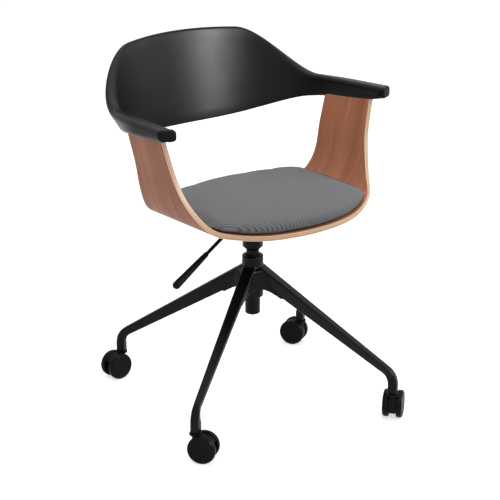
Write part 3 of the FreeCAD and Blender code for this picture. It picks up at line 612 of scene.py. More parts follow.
def skin_material(title, tint, pebble, rough, rough_spread, depth, tone=0.25, **constants):
    """A moulded, cast, coated or turned surface."""
    material, tree, shader = new_material(title, **constants)
    skin = placed(tree, "Fine skin")
    where = tree.nodes.new("ShaderNodeTexCoord").outputs["Object"]
    tree.links.new(where, skin.inputs["Vector"])
    skin.inputs["Colour"].default_value = (*tint, 1.0)
    skin.inputs["Pebble size"].default_value = pebble
    skin.inputs["Roughness"].default_value = rough
    skin.inputs["Roughness spread"].default_value = rough_spread
    skin.inputs["Tone spread"].default_value = tone
    tree.links.new(skin.outputs["Colour"], shader.inputs["Base Color"])
    tree.links.new(skin.outputs["Roughness"], shader.inputs["Roughness"])
    tree.links.new(bump(tree, skin.outputs["Height"], 0.5, depth), shader.inputs["Normal"])
    return material


def wood_material(title, light, dark, pores, uv=None, **constants):
    """Lacquered wood; its figure follows the UV map where one is named."""
    material, tree, shader = new_material(title, **constants)
    figure = placed(tree, "Wood figure")
    if uv:
        where = node(tree, "ShaderNodeUVMap", uv_map=uv).outputs[0]
    else:
        where = tree.nodes.new("ShaderNodeTexCoord").outputs["Object"]
    tree.links.new(where, figure.inputs["Vector"])
    figure.inputs["Light"].default_value = (*light, 1.0)
    figure.inputs["Dark"].default_value = (*dark, 1.0)
    figure.inputs["Streak size"].default_value = 1.0
    figure.inputs["Pores"].default_value = pores
    tree.links.new(figure.outputs["Colour"], shader.inputs["Base Color"])
    tree.links.new(figure.outputs["Roughness"], shader.inputs["Roughness"])
    tree.links.new(bump(tree, figure.outputs["Height"], 0.25, 0.0001), shader.inputs["Normal"])
    return material, tree, shader, figure


# Number of plies in the thickness of the plywood.
PLIES = 5.0


def make_ply_edge(finishes):
    """Sawn and lacquered plywood edge: plies across the thickness, each with its own figure."""
    material, tree, shader, figure = wood_material(
        "Plywood edge", finishes.ply_light, finishes.ply_dark, 0.35, uv="plies",
        Specular_IOR_Level=0.25)
    where = node(tree, "ShaderNodeUVMap", uv_map="plies").outputs[0]
    apart = node(tree, "ShaderNodeSeparateXYZ", in_Vector=where)
    plies = math_node(tree, "MULTIPLY", apart.outputs[1], PLIES / PLY_THICKNESS)
    odd = math_node(tree, "FLOORED_MODULO", math_node(tree, "FLOOR", plies), 2.0)
    glue = math_node(tree, "ABSOLUTE", math_node(tree, "SUBTRACT", math_node(tree, "FRACT", plies), 0.5))
    line = spread(tree, glue, 0.42, 0.5)
    streaky = figure.outputs["Colour"]
    light = (*finishes.ply_light, 1.0)
    toned = blend(tree, math_node(tree, "MULTIPLY_ADD", odd, 0.85, 0.05), light, streaky)
    glued = blend(tree, math_node(tree, "MULTIPLY", line, 0.6), toned, (*finishes.ply_dark, 1.0))
    tree.links.new(glued, shader.inputs["Base Color"])
    return material


# Number of threads from one diagonal rib of the cloth to the next.
THREADS_PER_RIB = 4.0


def make_cloth(finishes, pitch):
    """Grey cloth whose diagonal ribs are pitch apart."""
    material, tree, shader = new_material("Grey twill cloth", Roughness=0.92, Specular_IOR_Level=0.2,
                                          Sheen_Weight=0.12, Sheen_Roughness=0.5)
    weave = placed(tree, "Twill weave")
    where = tree.nodes.new("ShaderNodeTexCoord").outputs["Object"]
    tree.links.new(where, weave.inputs["Vector"])
    weave.inputs["Light"].default_value = (*finishes.cloth_light, 1.0)
    weave.inputs["Dark"].default_value = (*finishes.cloth_dark, 1.0)
    weave.inputs["Threads"].default_value = THREADS_PER_RIB / pitch / math.sqrt(2.0)
    tree.links.new(weave.outputs["Colour"], shader.inputs["Base Color"])
    tree.links.new(bump(tree, weave.outputs["Height"], 0.5, 0.0002), shader.inputs["Normal"])
    return material


def make_materials(scene):
    """Every finish of the chair, by name."""
    f = scene.chair_finishes
    make_skin_group()
    make_grain_group()
    make_weave_group()
    skin_material("Black moulded skin", f.moulding, 1500.0, 0.35, 0.05, 0.00002, Specular_IOR_Level=0.115)
    skin_material("Powder coated casting", f.coating, 1100.0, 0.34, 0.05, 0.00003, Specular_IOR_Level=0.10)
    skin_material("Powder coated steel", f.coating, 1300.0, 0.36, 0.05, 0.00003, Specular_IOR_Level=0.09)
    skin_material("Black nylon", f.nylon, 2200.0, 0.50, 0.06, 0.00004, Specular_IOR_Level=0.08)
    skin_material("Black wheel nylon", f.nylon, 1800.0, 0.42, 0.10, 0.00003, Specular_IOR_Level=0.07)
    skin_material("Black rubber", (0.02, 0.02, 0.02), 1500.0, 0.75, 0.05, 0.00005, Specular_IOR_Level=0.3)
    skin_material("Pale acetal", (0.62, 0.61, 0.57), 900.0, 0.38, 0.05, 0.00002, 0.06, Specular_IOR_Level=0.5)
    skin_material("Turned steel", (0.55, 0.55, 0.57), 700.0, 0.30, 0.10, 0.00002, 0.15, Metallic=1.0)
    wood_material("Walnut veneer", f.veneer_light, f.veneer_dark, 0.45, uv="veneer", Specular_IOR_Level=0.12)
    make_ply_edge(f)
    wood_material("Birch board", (0.62, 0.46, 0.30), (0.45, 0.30, 0.17), 0.3, Specular_IOR_Level=0.3)
    make_cloth(f, scene.chair_cushion.rib_pitch)


def finish_of(name):
    """The material with this name."""
    return bpy.data.materials[name]


# Back and arms

# Plan of the crest, from the middle to the arm's tip, with the path's heading after each bend in degrees.
BACK_TURN, ARM_TURN = 19.5, 85.3
CREST = BentPath(-0.266, [(arc(0.445, 0, BACK_TURN), BACK_TURN), (arc(0.192, BACK_TURN, ARM_TURN), ARM_TURN),
                          (0.179, ARM_TURN)])
# Where the section changes, as distances along the crest.
SHOULDER_START, SHOULDER_END = 0.140, 0.345
UNDERSIDE_RUN, UNDERSIDE_SHARPNESS = 0.400, 1.4
ARM_FLATTEN_START, ARM_FLATTEN_RISE = 0.340, 0.027
WIDEN_START, WIDEN_RUN = 0.330, 0.120
LEAN_START, LEAN_RUN = 0.150, 0.250
TWIST_START, TWIST_RUN, TWIST_HEIGHT = 0.200, 0.170, 0.013
UNTWIST_START, UNTWIST = 0.370, 0.6
# Widths and corner radii of the section.
LOW_EDGE_WIDTH = 0.011
LOW_EDGE_ROUND = 0.3
RIM_RADIUS, ARM_RADIUS, INNER_RADIUS = 0.0056, 0.0095, 0.003
TIP_ROUND_RUN, TIP_SLANT_RUN = 0.034, 0.045
TIP_EDGE, TIP_WALL = 0.0016, 0.003
RING_GAP = 0.0075


def back_corners(s, sizes):
    """Corners and corner radii of the section of the back and arms at distance s."""
    along = abs(s)
    shoulder = smooth((along - SHOULDER_START) / (SHOULDER_END - SHOULDER_START))
    arm = max(0.0, (along - SHOULDER_END) / (CREST.length - SHOULDER_END))
    crown = sizes.crown * min(along / SHOULDER_START, 1.0) ** 2
    top = sizes.crest_top - crown - (sizes.crest_top - sizes.crown - sizes.arm_top) * shoulder
    top += sizes.arm_top_rise * arm
    rise = smooth(along / UNDERSIDE_RUN) ** UNDERSIDE_SHARPNESS
    bottom = sizes.middle_bottom + (sizes.arm_bottom - sizes.middle_bottom) * rise
    flatten = (along - ARM_FLATTEN_START) / (CREST.length - ARM_FLATTEN_START)
    bottom += ARM_FLATTEN_RISE * max(0.0, flatten)
    top_width = sizes.rim_width + (sizes.root_width - sizes.rim_width) * shoulder
    top_width += (sizes.tip_width - sizes.root_width) * arm
    widen = smooth((along - WIDEN_START) / WIDEN_RUN)
    low_width = LOW_EDGE_WIDTH + (sizes.tip_width - LOW_EDGE_WIDTH) * widen
    lean = sizes.lean * (1 - smooth((along - LEAN_START) / LEAN_RUN))
    lift = TWIST_HEIGHT * smooth((along - TWIST_START) / TWIST_RUN)
    lift *= 1 - UNTWIST * smooth((along - UNTWIST_START) / (CREST.length - UNTWIST_START))
    u, v, heading = CREST.at(s)
    middle = Vector((u, -v, 0))
    outward = Vector((math.sin(heading), math.cos(heading), 0))
    inner_low = -top_width / 2 - lean
    corners = [middle - outward * (top_width / 2) + UP * top,
               middle + outward * (top_width / 2) + UP * top,
               middle + outward * (inner_low + low_width) + UP * (bottom + lift),
               middle + outward * inner_low + UP * bottom]
    rim = RIM_RADIUS + (ARM_RADIUS - RIM_RADIUS) * shoulder
    low = low_width * LOW_EDGE_ROUND
    tip = smooth((along - CREST.length + TIP_ROUND_RUN) / TIP_ROUND_RUN)
    return corners, (rim, rim, low, INNER_RADIUS + (low - INNER_RADIUS) * tip)


def tip_frame(side, sizes):
    """Middle and outward normal of the slanted end face of an arm, and the arm's height there."""
    corners, _ = back_corners(side * CREST.length, sizes)
    middle = (corners[0] + corners[1] + corners[2] + corners[3]) * 0.25
    turn = math.radians(90 - ARM_TURN) + sizes.tip_slant
    normal = Vector((side * math.sin(turn), -math.cos(turn), 0))
    seat = middle - normal * (sizes.tip_width / 2 * math.tan(sizes.tip_slant))
    return seat, normal, corners[0].z - corners[3].z


def back_ring(s, sizes):
    """Points round the section at distance s, slid forward near the tip to meet its slanted end."""
    corners, radii = back_corners(s, sizes)
    points, _ = rounded_loop(corners, radii, 5, (4, 10, 4, 10))
    near_tip = smooth((abs(s) - CREST.length + TIP_SLANT_RUN) / TIP_SLANT_RUN)
    if near_tip > 0:
        side = -1.0 if s < 0 else 1.0
        seat, normal, _ = tip_frame(side, sizes)
        heading = CREST.at(s)[2]
        forward = Vector((side * math.cos(heading), -abs(math.sin(heading)), 0))
        end = CREST.length - abs(s)
        for i, point in enumerate(points):
            room = (seat - point).dot(normal) / forward.dot(normal)
            points[i] = point + forward * ((room - end) * near_tip)
    return points


def make_back(scene):
    """The back and arms as one moulding, its ends closed by rounded walls behind the caps."""
    sizes = scene.chair_back
    half = even(0.0, CREST.length, RING_GAP)
    places = [-s for s in reversed(half[1:])] + half
    rings = [back_ring(s, sizes) for s in places]
    for side, order in ((-1, 0), (1, -1)):
        _, normal, _ = tip_frame(side, sizes)
        tip = rings[order]
        middle = sum(tip, Vector()) / len(tip)
        rounds = []
        for turn in (30, 60, 90):
            inset = TIP_EDGE * (1 - math.cos(math.radians(turn)))
            ahead = -TIP_EDGE * (1 - math.sin(math.radians(turn)))
            rounds.append([p + (middle - p).normalized() * inset + normal * ahead for p in tip])
        rounds.append([p + (middle - p).normalized() * TIP_WALL for p in tip])
        rings[order] = [p - normal * TIP_EDGE for p in tip]
        rings = rounds[::-1] + rings if side < 0 else rings + rounds
    obj = loft("back_moulding", rings)
    return dress(obj, "seat", ["back_and_arms"], [finish_of("Black moulded skin")], 40.0)


# Rings of an arm cap: how far inside the arm's outline and how far out of its end face.
CAP_RINGS = ((0.0026, -0.010), (0.0026, 0.0), (0.0020, 0.0009), (0.0021, 0.0021),
             (0.0028, 0.0028), (0.0042, 0.0032), (0.0075, 0.0036), (0.0115, 0.0038))
CAP_CORNER = 0.62


def make_arm_caps(scene):
    """Domed plugs in the ends of the arms, with a fine gap round them."""
    sizes = scene.chair_back
    caps = []
    for side in (-1, 1):
        seat, normal, height = tip_frame(side, sizes)
        across = UP.cross(normal).normalized()
        rings = []
        for inset, ahead in CAP_RINGS:
            wide = sizes.tip_width / math.cos(sizes.tip_slant) / 2 - inset
            tall = height / 2 - inset
            flat = [seat + normal * ahead + across * (a * wide) + UP * (b * tall)
                    for a, b in ((-1, 1), (1, 1), (1, -1), (-1, -1))]
            radius = min(wide, tall) * CAP_CORNER
            rings.append(rounded_loop(flat, (radius,) * 4, 7, (4, 4, 4, 4))[0])
        caps.append(loft(f"arm_cap_{side}", rings))
    obj = join(caps, "arm_end_caps")
    return dress(obj, "seat", ["arm_caps"], [finish_of("Black nylon")], 40.0)


# Plywood shell

# Half of the shell's section, seen from the front, and half of its front and rear edges, along the sheet.
SECTION = BentPath(SEAT_HEIGHT, [(0.085, 0.0), (arc(0.562, 0, 10.7), 10.7), (arc(0.043, 10.7, 58), 58),
                                 (arc(0.232, 58, 76), 76), (0.108, 76)])
FRONT = BentPath(-FRONT_REACH, [(arc(0.321, 0, 42.5), 42.5), (arc(0.230, 42.5, 5), 5), (0.090, 5)])
REAR = BentPath(REAR_REACH, [(arc(0.360, 0, 28.4), -28.4), (arc(0.240, 28.4, 0), 0.0), (0.160, 0.0)])
SECTION_GAPS = (0.008, 0.008, 0.0022, 0.006, 0.009)
UPRIGHT_START, UPRIGHT_RUN, UPRIGHT_DRAW = 0.228, 0.112, math.tan(math.radians(3.7))
# Where the figure of the veneer is read, apart for the two faces.
FIGURE_START, OUTER_FACE_START = 2.0, 3.0


def shell_ring(s, sizes):
    """Points round the plywood at s: inner face from front to rear, then the outer face back."""
    front = FRONT.height_at(s) + (FRONT_REACH - sizes.front)
    rear = REAR.height_at(s) + (sizes.rear - REAR_REACH)
    flat = [Vector((front, 0, 0)), Vector((rear, 0, 0)), Vector((rear, sizes.thickness, 0)),
            Vector((front, sizes.thickness, 0))]
    points, sides = rounded_loop(flat, (sizes.edge_round,) * 4, 3, (16, 4, 16, 4))
    side = -1.0 if s < 0 else 1.0
    draw = smooth((abs(s) - UPRIGHT_START) / UPRIGHT_RUN) * UPRIGHT_DRAW
    ring = []
    for point in points:
        x, z, _ = SECTION.at(s, -point.y)
        ring.append(Vector((x - side * draw * (point.x - front), point.x, z)))
    return ring, points, sides


def make_shell(scene):
    """The bent sheet, with one UV map for the veneer's figure and one for the plies."""
    sizes = scene.chair_shell
    half = [0.0]
    for start, end, gap in zip(SECTION.knots[:-1], SECTION.knots[1:], SECTION_GAPS):
        half += even(start[0], end[0], gap)[1:]
    places = [-s for s in reversed(half[1:])] + half
    rings, veneer, plies = [], [], []
    for s in places:
        ring, points, sides = shell_ring(s, sizes)
        rings.append(ring)
        loop = points + points[:1]
        outer = [OUTER_FACE_START if p.y >= sizes.thickness / 2 else 0.0 for p in loop]
        veneer.append([(s + FIGURE_START, p.x + start) for p, start in zip(loop, outer)])
        plies.append([(s + FIGURE_START, p.y) for p in loop])
    indices = [0 if side in (0, 2) else 1 for side in sides]
    obj = loft("plywood_shell_bent", rings, indices, {"veneer": veneer, "plies": plies})
    return dress(obj, "seat", ["plywood_shell"],
                 [finish_of("Walnut veneer"), finish_of("Plywood edge")], 40.0)


# Cushion

# Front and rear of the cushion's outline: bow radius, its centre's y, corner radius and direction.
FRONT_BOW = (0.3205, 0.1073, 0.096, -1)
REAR_BOW = (0.536, -0.400, 0.062, 1)
LEAST_CORNER = 0.012
OUTLINE_STEPS = 14
# The underside: its gap above the plywood's clearance, how far in its rings lie and its rounded edge.
UNDERSIDE_GAP = 0.0008
UNDERSIDE_INSETS = (0.13, 0.09, 0.05, 0.02)
UNDERSIDE_ROUND, UNDERSIDE_LIFT = 0.0045, 0.006
PAD_GRID = 0.005
STUFFING_STEPS = 20
# Table of the plywood's height, read off every SURFACE_STEP from the middle.
SURFACE_STEP, SURFACE_COUNT = 0.002, 140


def cushion_ring(inset, height, sizes):
    """Points round the cushion's outline, drawn in by inset."""
    half = sizes.half_width - inset
    right = []
    for bow, middle, corner, away in (FRONT_BOW, REAR_BOW):
        big = bow - inset
        small = max(corner - inset, LEAST_CORNER)
        small_x = half - small
        run = math.sqrt((big - small) ** 2 - small_x ** 2)
        small_y = middle + away * run
        start = math.atan2(small_x, run)
        bow_turns = [start * i / OUTLINE_STEPS for i in range(OUTLINE_STEPS)]
        stretch = [(big * math.sin(turn), middle + away * big * math.cos(turn)) for turn in bow_turns]
        for i in range(OUTLINE_STEPS + 1):
            turn = start + (math.pi / 2 - start) * i / OUTLINE_STEPS
            stretch.append((small_x + small * math.sin(turn), small_y + away * small * math.cos(turn)))
        right += stretch if away < 0 else stretch[::-1]
    left = [(-x, y) for x, y in reversed(right[1:-1])]
    return [Vector((x, y, height(x) if callable(height) else height)) for x, y in right + left]


def make_cushion(scene):
    """A crowned pad with drawn-in sides, swelled as a stuffed cover is and laid on the shell."""
    sizes = scene.chair_cushion
    base = scene.chair_shell.seat_height
    rest = sizes.clearance + UNDERSIDE_GAP
    rings = [cushion_ring(inset, lambda x: SECTION.height_at(x) + rest, sizes) for inset in UNDERSIDE_INSETS]
    for turn in (0, 25, 50, 75):
        a = math.radians(turn)
        lift = UNDERSIDE_LIFT * (1 - math.cos(a))
        rings.append(cushion_ring(UNDERSIDE_ROUND * (1 - math.sin(a)),
                                  lambda x, lift=lift: max(SECTION.height_at(x) + rest, base) + lift, sizes))
    side = sizes.side_height - UNDERSIDE_LIFT
    for level in (0.45, 1.0):
        rings.append(cushion_ring(0.0, base + UNDERSIDE_LIFT + side * level, sizes))
    top = base + sizes.side_height
    for turn in range(8, 89, 8):
        a = math.radians(turn)
        inset = sizes.crown_run * (1 - math.cos(a))
        rings.append(cushion_ring(inset, top + sizes.crown * math.sin(a), sizes))
    obj = loft("seat_cushion_pad", rings)
    modify(obj, "REMESH", mode="VOXEL", voxel_size=PAD_GRID, adaptivity=0.0)
    stuff(obj, sizes)
    keep_off_shell(obj, sizes)
    modify(obj, "SMOOTH", factor=0.5, iterations=4)
    keep_off_shell(obj, sizes)
    modify(obj, "SUBSURF", levels=1, render_levels=1)
    return dress(obj, "seat", ["seat_cushion"], [finish_of("Grey twill cloth")], 60.0)


def stuff(obj, sizes):
    """Swell the pad like a stuffed cover, with a cap on how far each point moves."""
    scene = bpy.context.scene
    start = [v.co.copy() for v in obj.data.vertices]
    take(obj)
    bpy.ops.object.modifier_add(type="CLOTH")
    cloth = obj.modifiers[-1]
    cloth.settings.use_pressure = True
    cloth.settings.uniform_pressure_force = sizes.pressure
    cloth.settings.effector_weights.gravity = 0.0
    cloth.settings.quality = 5
    cloth.settings.tension_stiffness = 25.0
    cloth.settings.compression_stiffness = 25.0
    cloth.settings.bending_stiffness = 4.0
    cloth.point_cache.frame_start = 1
    cloth.point_cache.frame_end = STUFFING_STEPS
    for step in range(1, STUFFING_STEPS + 1):
        scene.frame_set(step)
    take(obj)
    bpy.ops.object.modifier_apply(modifier=cloth.name)
    scene.frame_set(1)
    for vertex, before in zip(obj.data.vertices, start):
        move = vertex.co - before
        if move.length > sizes.swell:
            vertex.co = before + move.normalized() * sizes.swell


def keep_off_shell(obj, sizes):
    """Lift the pad's underside off the plywood, so that it rests on it and never sinks in."""
    table = [SECTION.height_at(i * SURFACE_STEP) for i in range(SURFACE_COUNT)]
    for vertex in obj.data.vertices:
        step = min(abs(vertex.co.x) / SURFACE_STEP, SURFACE_COUNT - 1.1)
        low = table[int(step)]
        floor = low + (table[int(step) + 1] - low) * (step - int(step)) + sizes.clearance
        vertex.co.z = max(vertex.co.z, floor)


# Base and column

def make_base(scene):
    """The cast base: hub, four legs and the webs between them, blended as a casting is."""
    sizes = scene.chair_base
    obj = merged_copy("base_casting", "base_casting_blended")
    modify(obj, "REMESH", mode="VOXEL", voxel_size=sizes.grain, adaptivity=0.0)
    modify(obj, "SMOOTH", factor=0.5, iterations=3)
    dress(obj, "base", ["base_casting"], [finish_of("Powder coated casting")], 60.0)
    ease("column_tube", "base", "Powder coated steel", 0.0005)
    ease("guide_bush", "base", "Black nylon", 0.0004)


# Head of a seat bolt, as (radius, height) from its socket to its rim; the shank follows.
BOLT_HEAD = [(0.0022, 0.0), (0.0022, -0.0015), (0.0025, -0.004), (0.0052, -0.004), (0.006, -0.0034),
             (0.006, 0.0), (0.003, 0.0)]
BOLT_RADIUS, HEAD_RADIUS, HEAD_HEIGHT = 0.003, 0.006, 0.004


def make_seat_frame(scene):
    """Pressed plate with the lever housing and socket, its bolts and the gas cylinder."""
    ease("seat_plate", "seat", "Powder coated steel", scene.chair_base.edge_round)
    ease("gas_cylinder", "seat", "Powder coated steel", 0.0004)
    low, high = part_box("seat_bolts")
    head = lathe("bolt_head", BOLT_HEAD + [(BOLT_RADIUS, high.z - low.z - HEAD_HEIGHT)], 32)
    bolts = [copy_of(head, "bolt", Matrix.Translation((x, y, low.z + HEAD_HEIGHT)))
             for x in (low.x + HEAD_RADIUS, high.x - HEAD_RADIUS)
             for y in (low.y + HEAD_RADIUS, high.y - HEAD_RADIUS)]
    bpy.data.objects.remove(head)
    bolts = join(bolts, "seat_bolts_turned")
    dress(bolts, "seat", ["seat_bolts"], [finish_of("Turned steel")])
    ease("lever_pin", "seat", "Turned steel", 0.0003)


# Lever

# The lever's middle line passes the column's axis at LEVER_LINE; the grip starts GRIP_START out from it.
LEVER_LINE, GRIP_START = 0.4447, 0.124
ROD_BORE = 0.0042
COLLAR = 0.0076
# The grip swells as a power of the distance, up to GRIP_EASE of its end radius before its tip.
GRIP_EASE, GRIP_CURVE = 0.95, 0.85


def make_lever(scene):
    """The bent rod and its turned grip: a collar, a long swelling and a rounded end."""
    sizes = scene.chair_lever
    ease("lever_rod", "lever", "Powder coated steel", 0.0004)
    root, end, run = sizes.root / 2, sizes.end / 2, sizes.grip
    outline = [(ROD_BORE, 0.0), (root - 0.0006, 0.0), (root, 0.0007), (root, 0.0055), (root - 0.0005, 0.0060),
               (root - 0.0005, 0.0070), (root, COLLAR)]
    straight = run - end * GRIP_EASE
    for i in range(1, 9):
        t = i / 8
        outline.append((root + (end - root) * t ** GRIP_CURVE, COLLAR + (straight - COLLAR) * t))
    for i in range(1, 8):
        turn = math.radians(12.5 * i)
        outline.append((end * math.cos(turn), straight + (run - straight) * math.sin(turn)))
    grip = lathe("lever_grip_turned", outline, 40)
    out = Vector((-math.cos(sizes.slope), 0, -math.sin(sizes.slope)))
    start = Vector((-GRIP_START, 0, LEVER_LINE - GRIP_START * math.tan(sizes.slope)))
    grip.data.transform(Matrix.Translation(start) @ UP.rotation_difference(out).to_matrix().to_4x4())
    dress(grip, "lever", ["lever_grip"], [finish_of("Black nylon")], 30.0)


# Casters

# Direction of each leg and heading of its caster, in degrees.
LEGS = ((120.0, 184.0), (210.0, 305.0), (300.0, 38.0), (30.0, 118.5))
# Radii of a wheel's bore and boss, width of its rim, and sizes of the ribs inside it.
WHEEL_BORE, WHEEL_BOSS, WHEEL_RIM = 0.0042, 0.0088, 0.0042
RIB_THICKNESS, RIB_DEPTH, RIB_OVERLAP = 0.0011, 0.0030, 0.0006


def make_wheel(sizes):
    """One wheel about +Z, its outer face up at z = width: dished face, tread and ribbed inside."""
    r, w = sizes.wheel / 2, sizes.width
    outline = [(WHEEL_BORE, 0.0), (WHEEL_BOSS - 0.0003, 0.0), (WHEEL_BOSS, 0.0004), (WHEEL_BOSS, RIB_DEPTH),
               (r - WHEEL_RIM, RIB_DEPTH),
               (r - 0.0040, 0.0006), (r - 0.0034, 0.0), (r - 0.0016, 0.0), (r - 0.0004, 0.0008), (r, 0.0024),
               (r, w - 0.0052), (r - 0.0005, w - 0.0034), (r - 0.0010, w - 0.0030), (r - 0.0010, w - 0.0026),
               (r - 0.0007, w - 0.0024), (r - 0.0016, w - 0.0010), (r - 0.0030, w - 0.0003), (r - 0.0044, w),
               (r - 0.0054, w - 0.0001), (r - 0.0062, w - 0.0007), (0.0100, w - 0.0010), (0.0020, w - 0.0010)]
    wheel = lathe("caster_wheel", outline, 64)
    deselect()
    reach = r - WHEEL_RIM - WHEEL_BOSS
    bpy.ops.mesh.primitive_cube_add(size=1.0, location=(WHEEL_BOSS + reach / 2, 0, 0.0017),
                                    scale=(reach + RIB_OVERLAP, RIB_THICKNESS, RIB_DEPTH))
    rib = named("rib")
    settle(rib)
    ribs = [copy_of(rib, "rib_copy", Matrix.Rotation(math.tau * i / sizes.ribs, 4, "Z"))
            for i in range(sizes.ribs)]
    bpy.data.objects.remove(rib)
    return join([wheel] + ribs, "caster_wheel")


def make_casters(scene):
    """Two ribbed wheels on each caster body, the second a mirror image of the first."""
    sizes = scene.chair_casters
    wheel = make_wheel(sizes)
    out = Matrix.Translation((0, sizes.gap / 2, 0)) @ Matrix.Rotation(math.radians(-90), 4, "X")
    sides = {"a": out, "b": Matrix.Scale(-1, 4, (0, 1, 0)) @ out}
    for number, (leg, heading) in enumerate(LEGS, start=1):
        x = sizes.foot_radius * math.cos(math.radians(leg))
        y = sizes.foot_radius * math.sin(math.radians(leg))
        place = Matrix.Translation((x, y, 0)) @ Matrix.Rotation(math.radians(heading), 4, "Z")
        axle = place @ Matrix.Translation((sizes.trail, 0, sizes.wheel / 2))
        for letter, side in sides.items():
            turned = copy_of(wheel, f"caster_{number}_wheel_{letter}_ribbed", axle @ side)
            dress(turned, f"wheel_{number}{letter}", [f"caster_{number}_wheel_{letter}"],
                  [finish_of("Black wheel nylon")], 28.0)
        ease(f"caster_{number}_body", f"caster_{number}", "Black nylon", 0.0007)
    bpy.data.objects.remove(wheel)


# CAD nodes that no piece replaces, by their finish.
INNER_FINISHES = {
    "Turned steel": ["thrust_bearing", "piston_rod", "piston", "rod_clip", "valve_pin", "tee_nuts"]
    + [f"caster_{number}_{piece}" for number in range(1, 5) for piece in ("stem", "axle")],
    "Black rubber": ["bump_stop"],
    "Pale acetal": ["cylinder_gland"],
    "Birch board": ["cushion_board", "arm_pins"],
    "Black nylon": ["stem_sleeves"],
}


def dress_inner_nodes():
    """Finishes for the CAD nodes that stay as they are."""
    for finish, names in INNER_FINISHES.items():
        for name in names:
            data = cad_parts[name].data
            data.materials.clear()
            data.materials.append(finish_of(finish))


# Stage

# Name, place, the point aimed at, width, height and power in watts of each lamp.
LAMPS = (
    ("Window left", (-1.9, -2.3, 3.2), (0, 0, 0.5), 1.6, 1.6, 30),
    ("Window right", (2.6, -1.4, 1.8), (0, 0, 0.5), 1.2, 1.8, 28),
    ("Ceiling", (0, 0.2, 3.2), (0, 0, 0), 2.6, 2.6, 55),
)
BACK_SHEEN_LAMP = ("Strip", (0.72, -1.75, 1.27), (0.08, 0.25, 0.76), 0.30, 0.44, 74)
# Brightness of the floor and the surroundings as seen, and of the surroundings as light.
FLOOR_GLOW, WORLD_SEEN, WORLD_LIT = 0.58, 1.0, 0.56
CAMERA_TARGET = Vector((-0.0045, 0.0036, 0.3452))


def area_light(name, place, target, width, height, power):
    """A rectangular lamp at place, aimed at target."""
    deselect()
    bpy.ops.object.light_add(type="AREA", location=place)
    lamp = bpy.context.active_object
    lamp.name = name
    lamp.data.shape = "RECTANGLE"
    lamp.data.size, lamp.data.size_y = width, height
    lamp.data.energy = power
    lamp.rotation_mode = "QUATERNION"
    lamp.rotation_quaternion = (Vector(target) - Vector(place)).to_track_quat("-Z", "Y")
    return lamp


def white_where_seen(tree, seen, lit):
    """A number that is seen by the camera and in reflections, and lit elsewhere."""
    path = tree.nodes.new("ShaderNodeLightPath")
    shown = math_node(tree, "MAXIMUM", path.outputs["Is Camera Ray"], path.outputs["Is Transmission Ray"])
    shown = math_node(tree, "MAXIMUM", shown, path.outputs["Is Glossy Ray"])
    return math_node(tree, "MULTIPLY_ADD", shown, seen - lit, lit)


def make_stage(scene):
    """Pale floor, white surroundings, lamps and the camera."""
    sizes = scene.chair_stage
    scene.view_settings.view_transform = "Standard"
    deselect()
    bpy.ops.mesh.primitive_plane_add(size=16.0)
    floor = named("floor")
    material, tree, shader = new_material("Pale floor", Roughness=0.9, Specular_IOR_Level=0.1)
    cloud = node(tree, "ShaderNodeTexNoise", in_Scale=2.0)
    patches = spread(tree, cloud.outputs[0], 0.3, 0.7)
    tint = blend(tree, patches, (0.72, 0.72, 0.72, 1), (0.75, 0.75, 0.75, 1))
    tree.links.new(tint, shader.inputs["Base Color"])
    shader.inputs["Emission Color"].default_value = (1, 1, 1, 1)
    tree.links.new(white_where_seen(tree, FLOOR_GLOW, 0.0), shader.inputs["Emission Strength"])
    floor.data.materials.append(material)
    world = bpy.data.worlds.new("Soft studio")
    scene.world = world
    world.use_nodes = True
    background = world.node_tree.nodes["Background"]
    background.inputs["Color"].default_value = (1, 1, 1, 1)
    strength = white_where_seen(world.node_tree, WORLD_SEEN, WORLD_LIT)
    world.node_tree.links.new(strength, background.inputs["Strength"])
    for lamp in LAMPS:
        area_light(*lamp)
    area_light(*BACK_SHEEN_LAMP).visible_diffuse = False
    away = Vector((math.sin(sizes.azimuth) * math.cos(sizes.elevation),
                   -math.cos(sizes.azimuth) * math.cos(sizes.elevation), math.sin(sizes.elevation)))
    deselect()
    bpy.ops.object.camera_add(location=CAMERA_TARGET + away * sizes.distance)
    camera = bpy.context.active_object
    camera.rotation_mode = "QUATERNION"
    camera.rotation_quaternion = (-away).to_track_quat("-Z", "Y")
    camera.data.lens = sizes.lens
    camera.data.sensor_width = 36.0
    camera.data.clip_end = 50.0
    scene.camera = camera


# Operators, panel and registration

class CHAIR_OT_finishes(bpy.types.Operator):
    """Make the materials of the chair"""
    bl_idname = "chair.finishes"
    bl_label = "Finishes"
    bl_options = {"REGISTER", "UNDO"}

    def execute(self, context):
        make_materials(context.scene)
        return {"FINISHED"}


class CHAIR_OT_back(bpy.types.Operator):
    """Model the moulded back that runs into the arms"""
    bl_idname = "chair.back"
    bl_label = "Back and arms"
    bl_options = {"REGISTER", "UNDO"}

    def execute(self, context):
        make_back(context.scene)
        return {"FINISHED"}


class CHAIR_OT_arm_caps(bpy.types.Operator):
    """Model the plugs in the arms' ends"""
    bl_idname = "chair.arm_caps"
    bl_label = "Arm end caps"
    bl_options = {"REGISTER", "UNDO"}

    def execute(self, context):
        make_arm_caps(context.scene)
        return {"FINISHED"}


class CHAIR_OT_shell(bpy.types.Operator):
    """Model the bent plywood shell"""
    bl_idname = "chair.shell"
    bl_label = "Plywood shell"
    bl_options = {"REGISTER", "UNDO"}

    def execute(self, context):
        make_shell(context.scene)
        return {"FINISHED"}


class CHAIR_OT_cushion(bpy.types.Operator):
    """Model and stuff the seat cushion"""
    bl_idname = "chair.cushion"
    bl_label = "Cushion"
    bl_options = {"REGISTER", "UNDO"}

    def execute(self, context):
        make_cushion(context.scene)
        return {"FINISHED"}


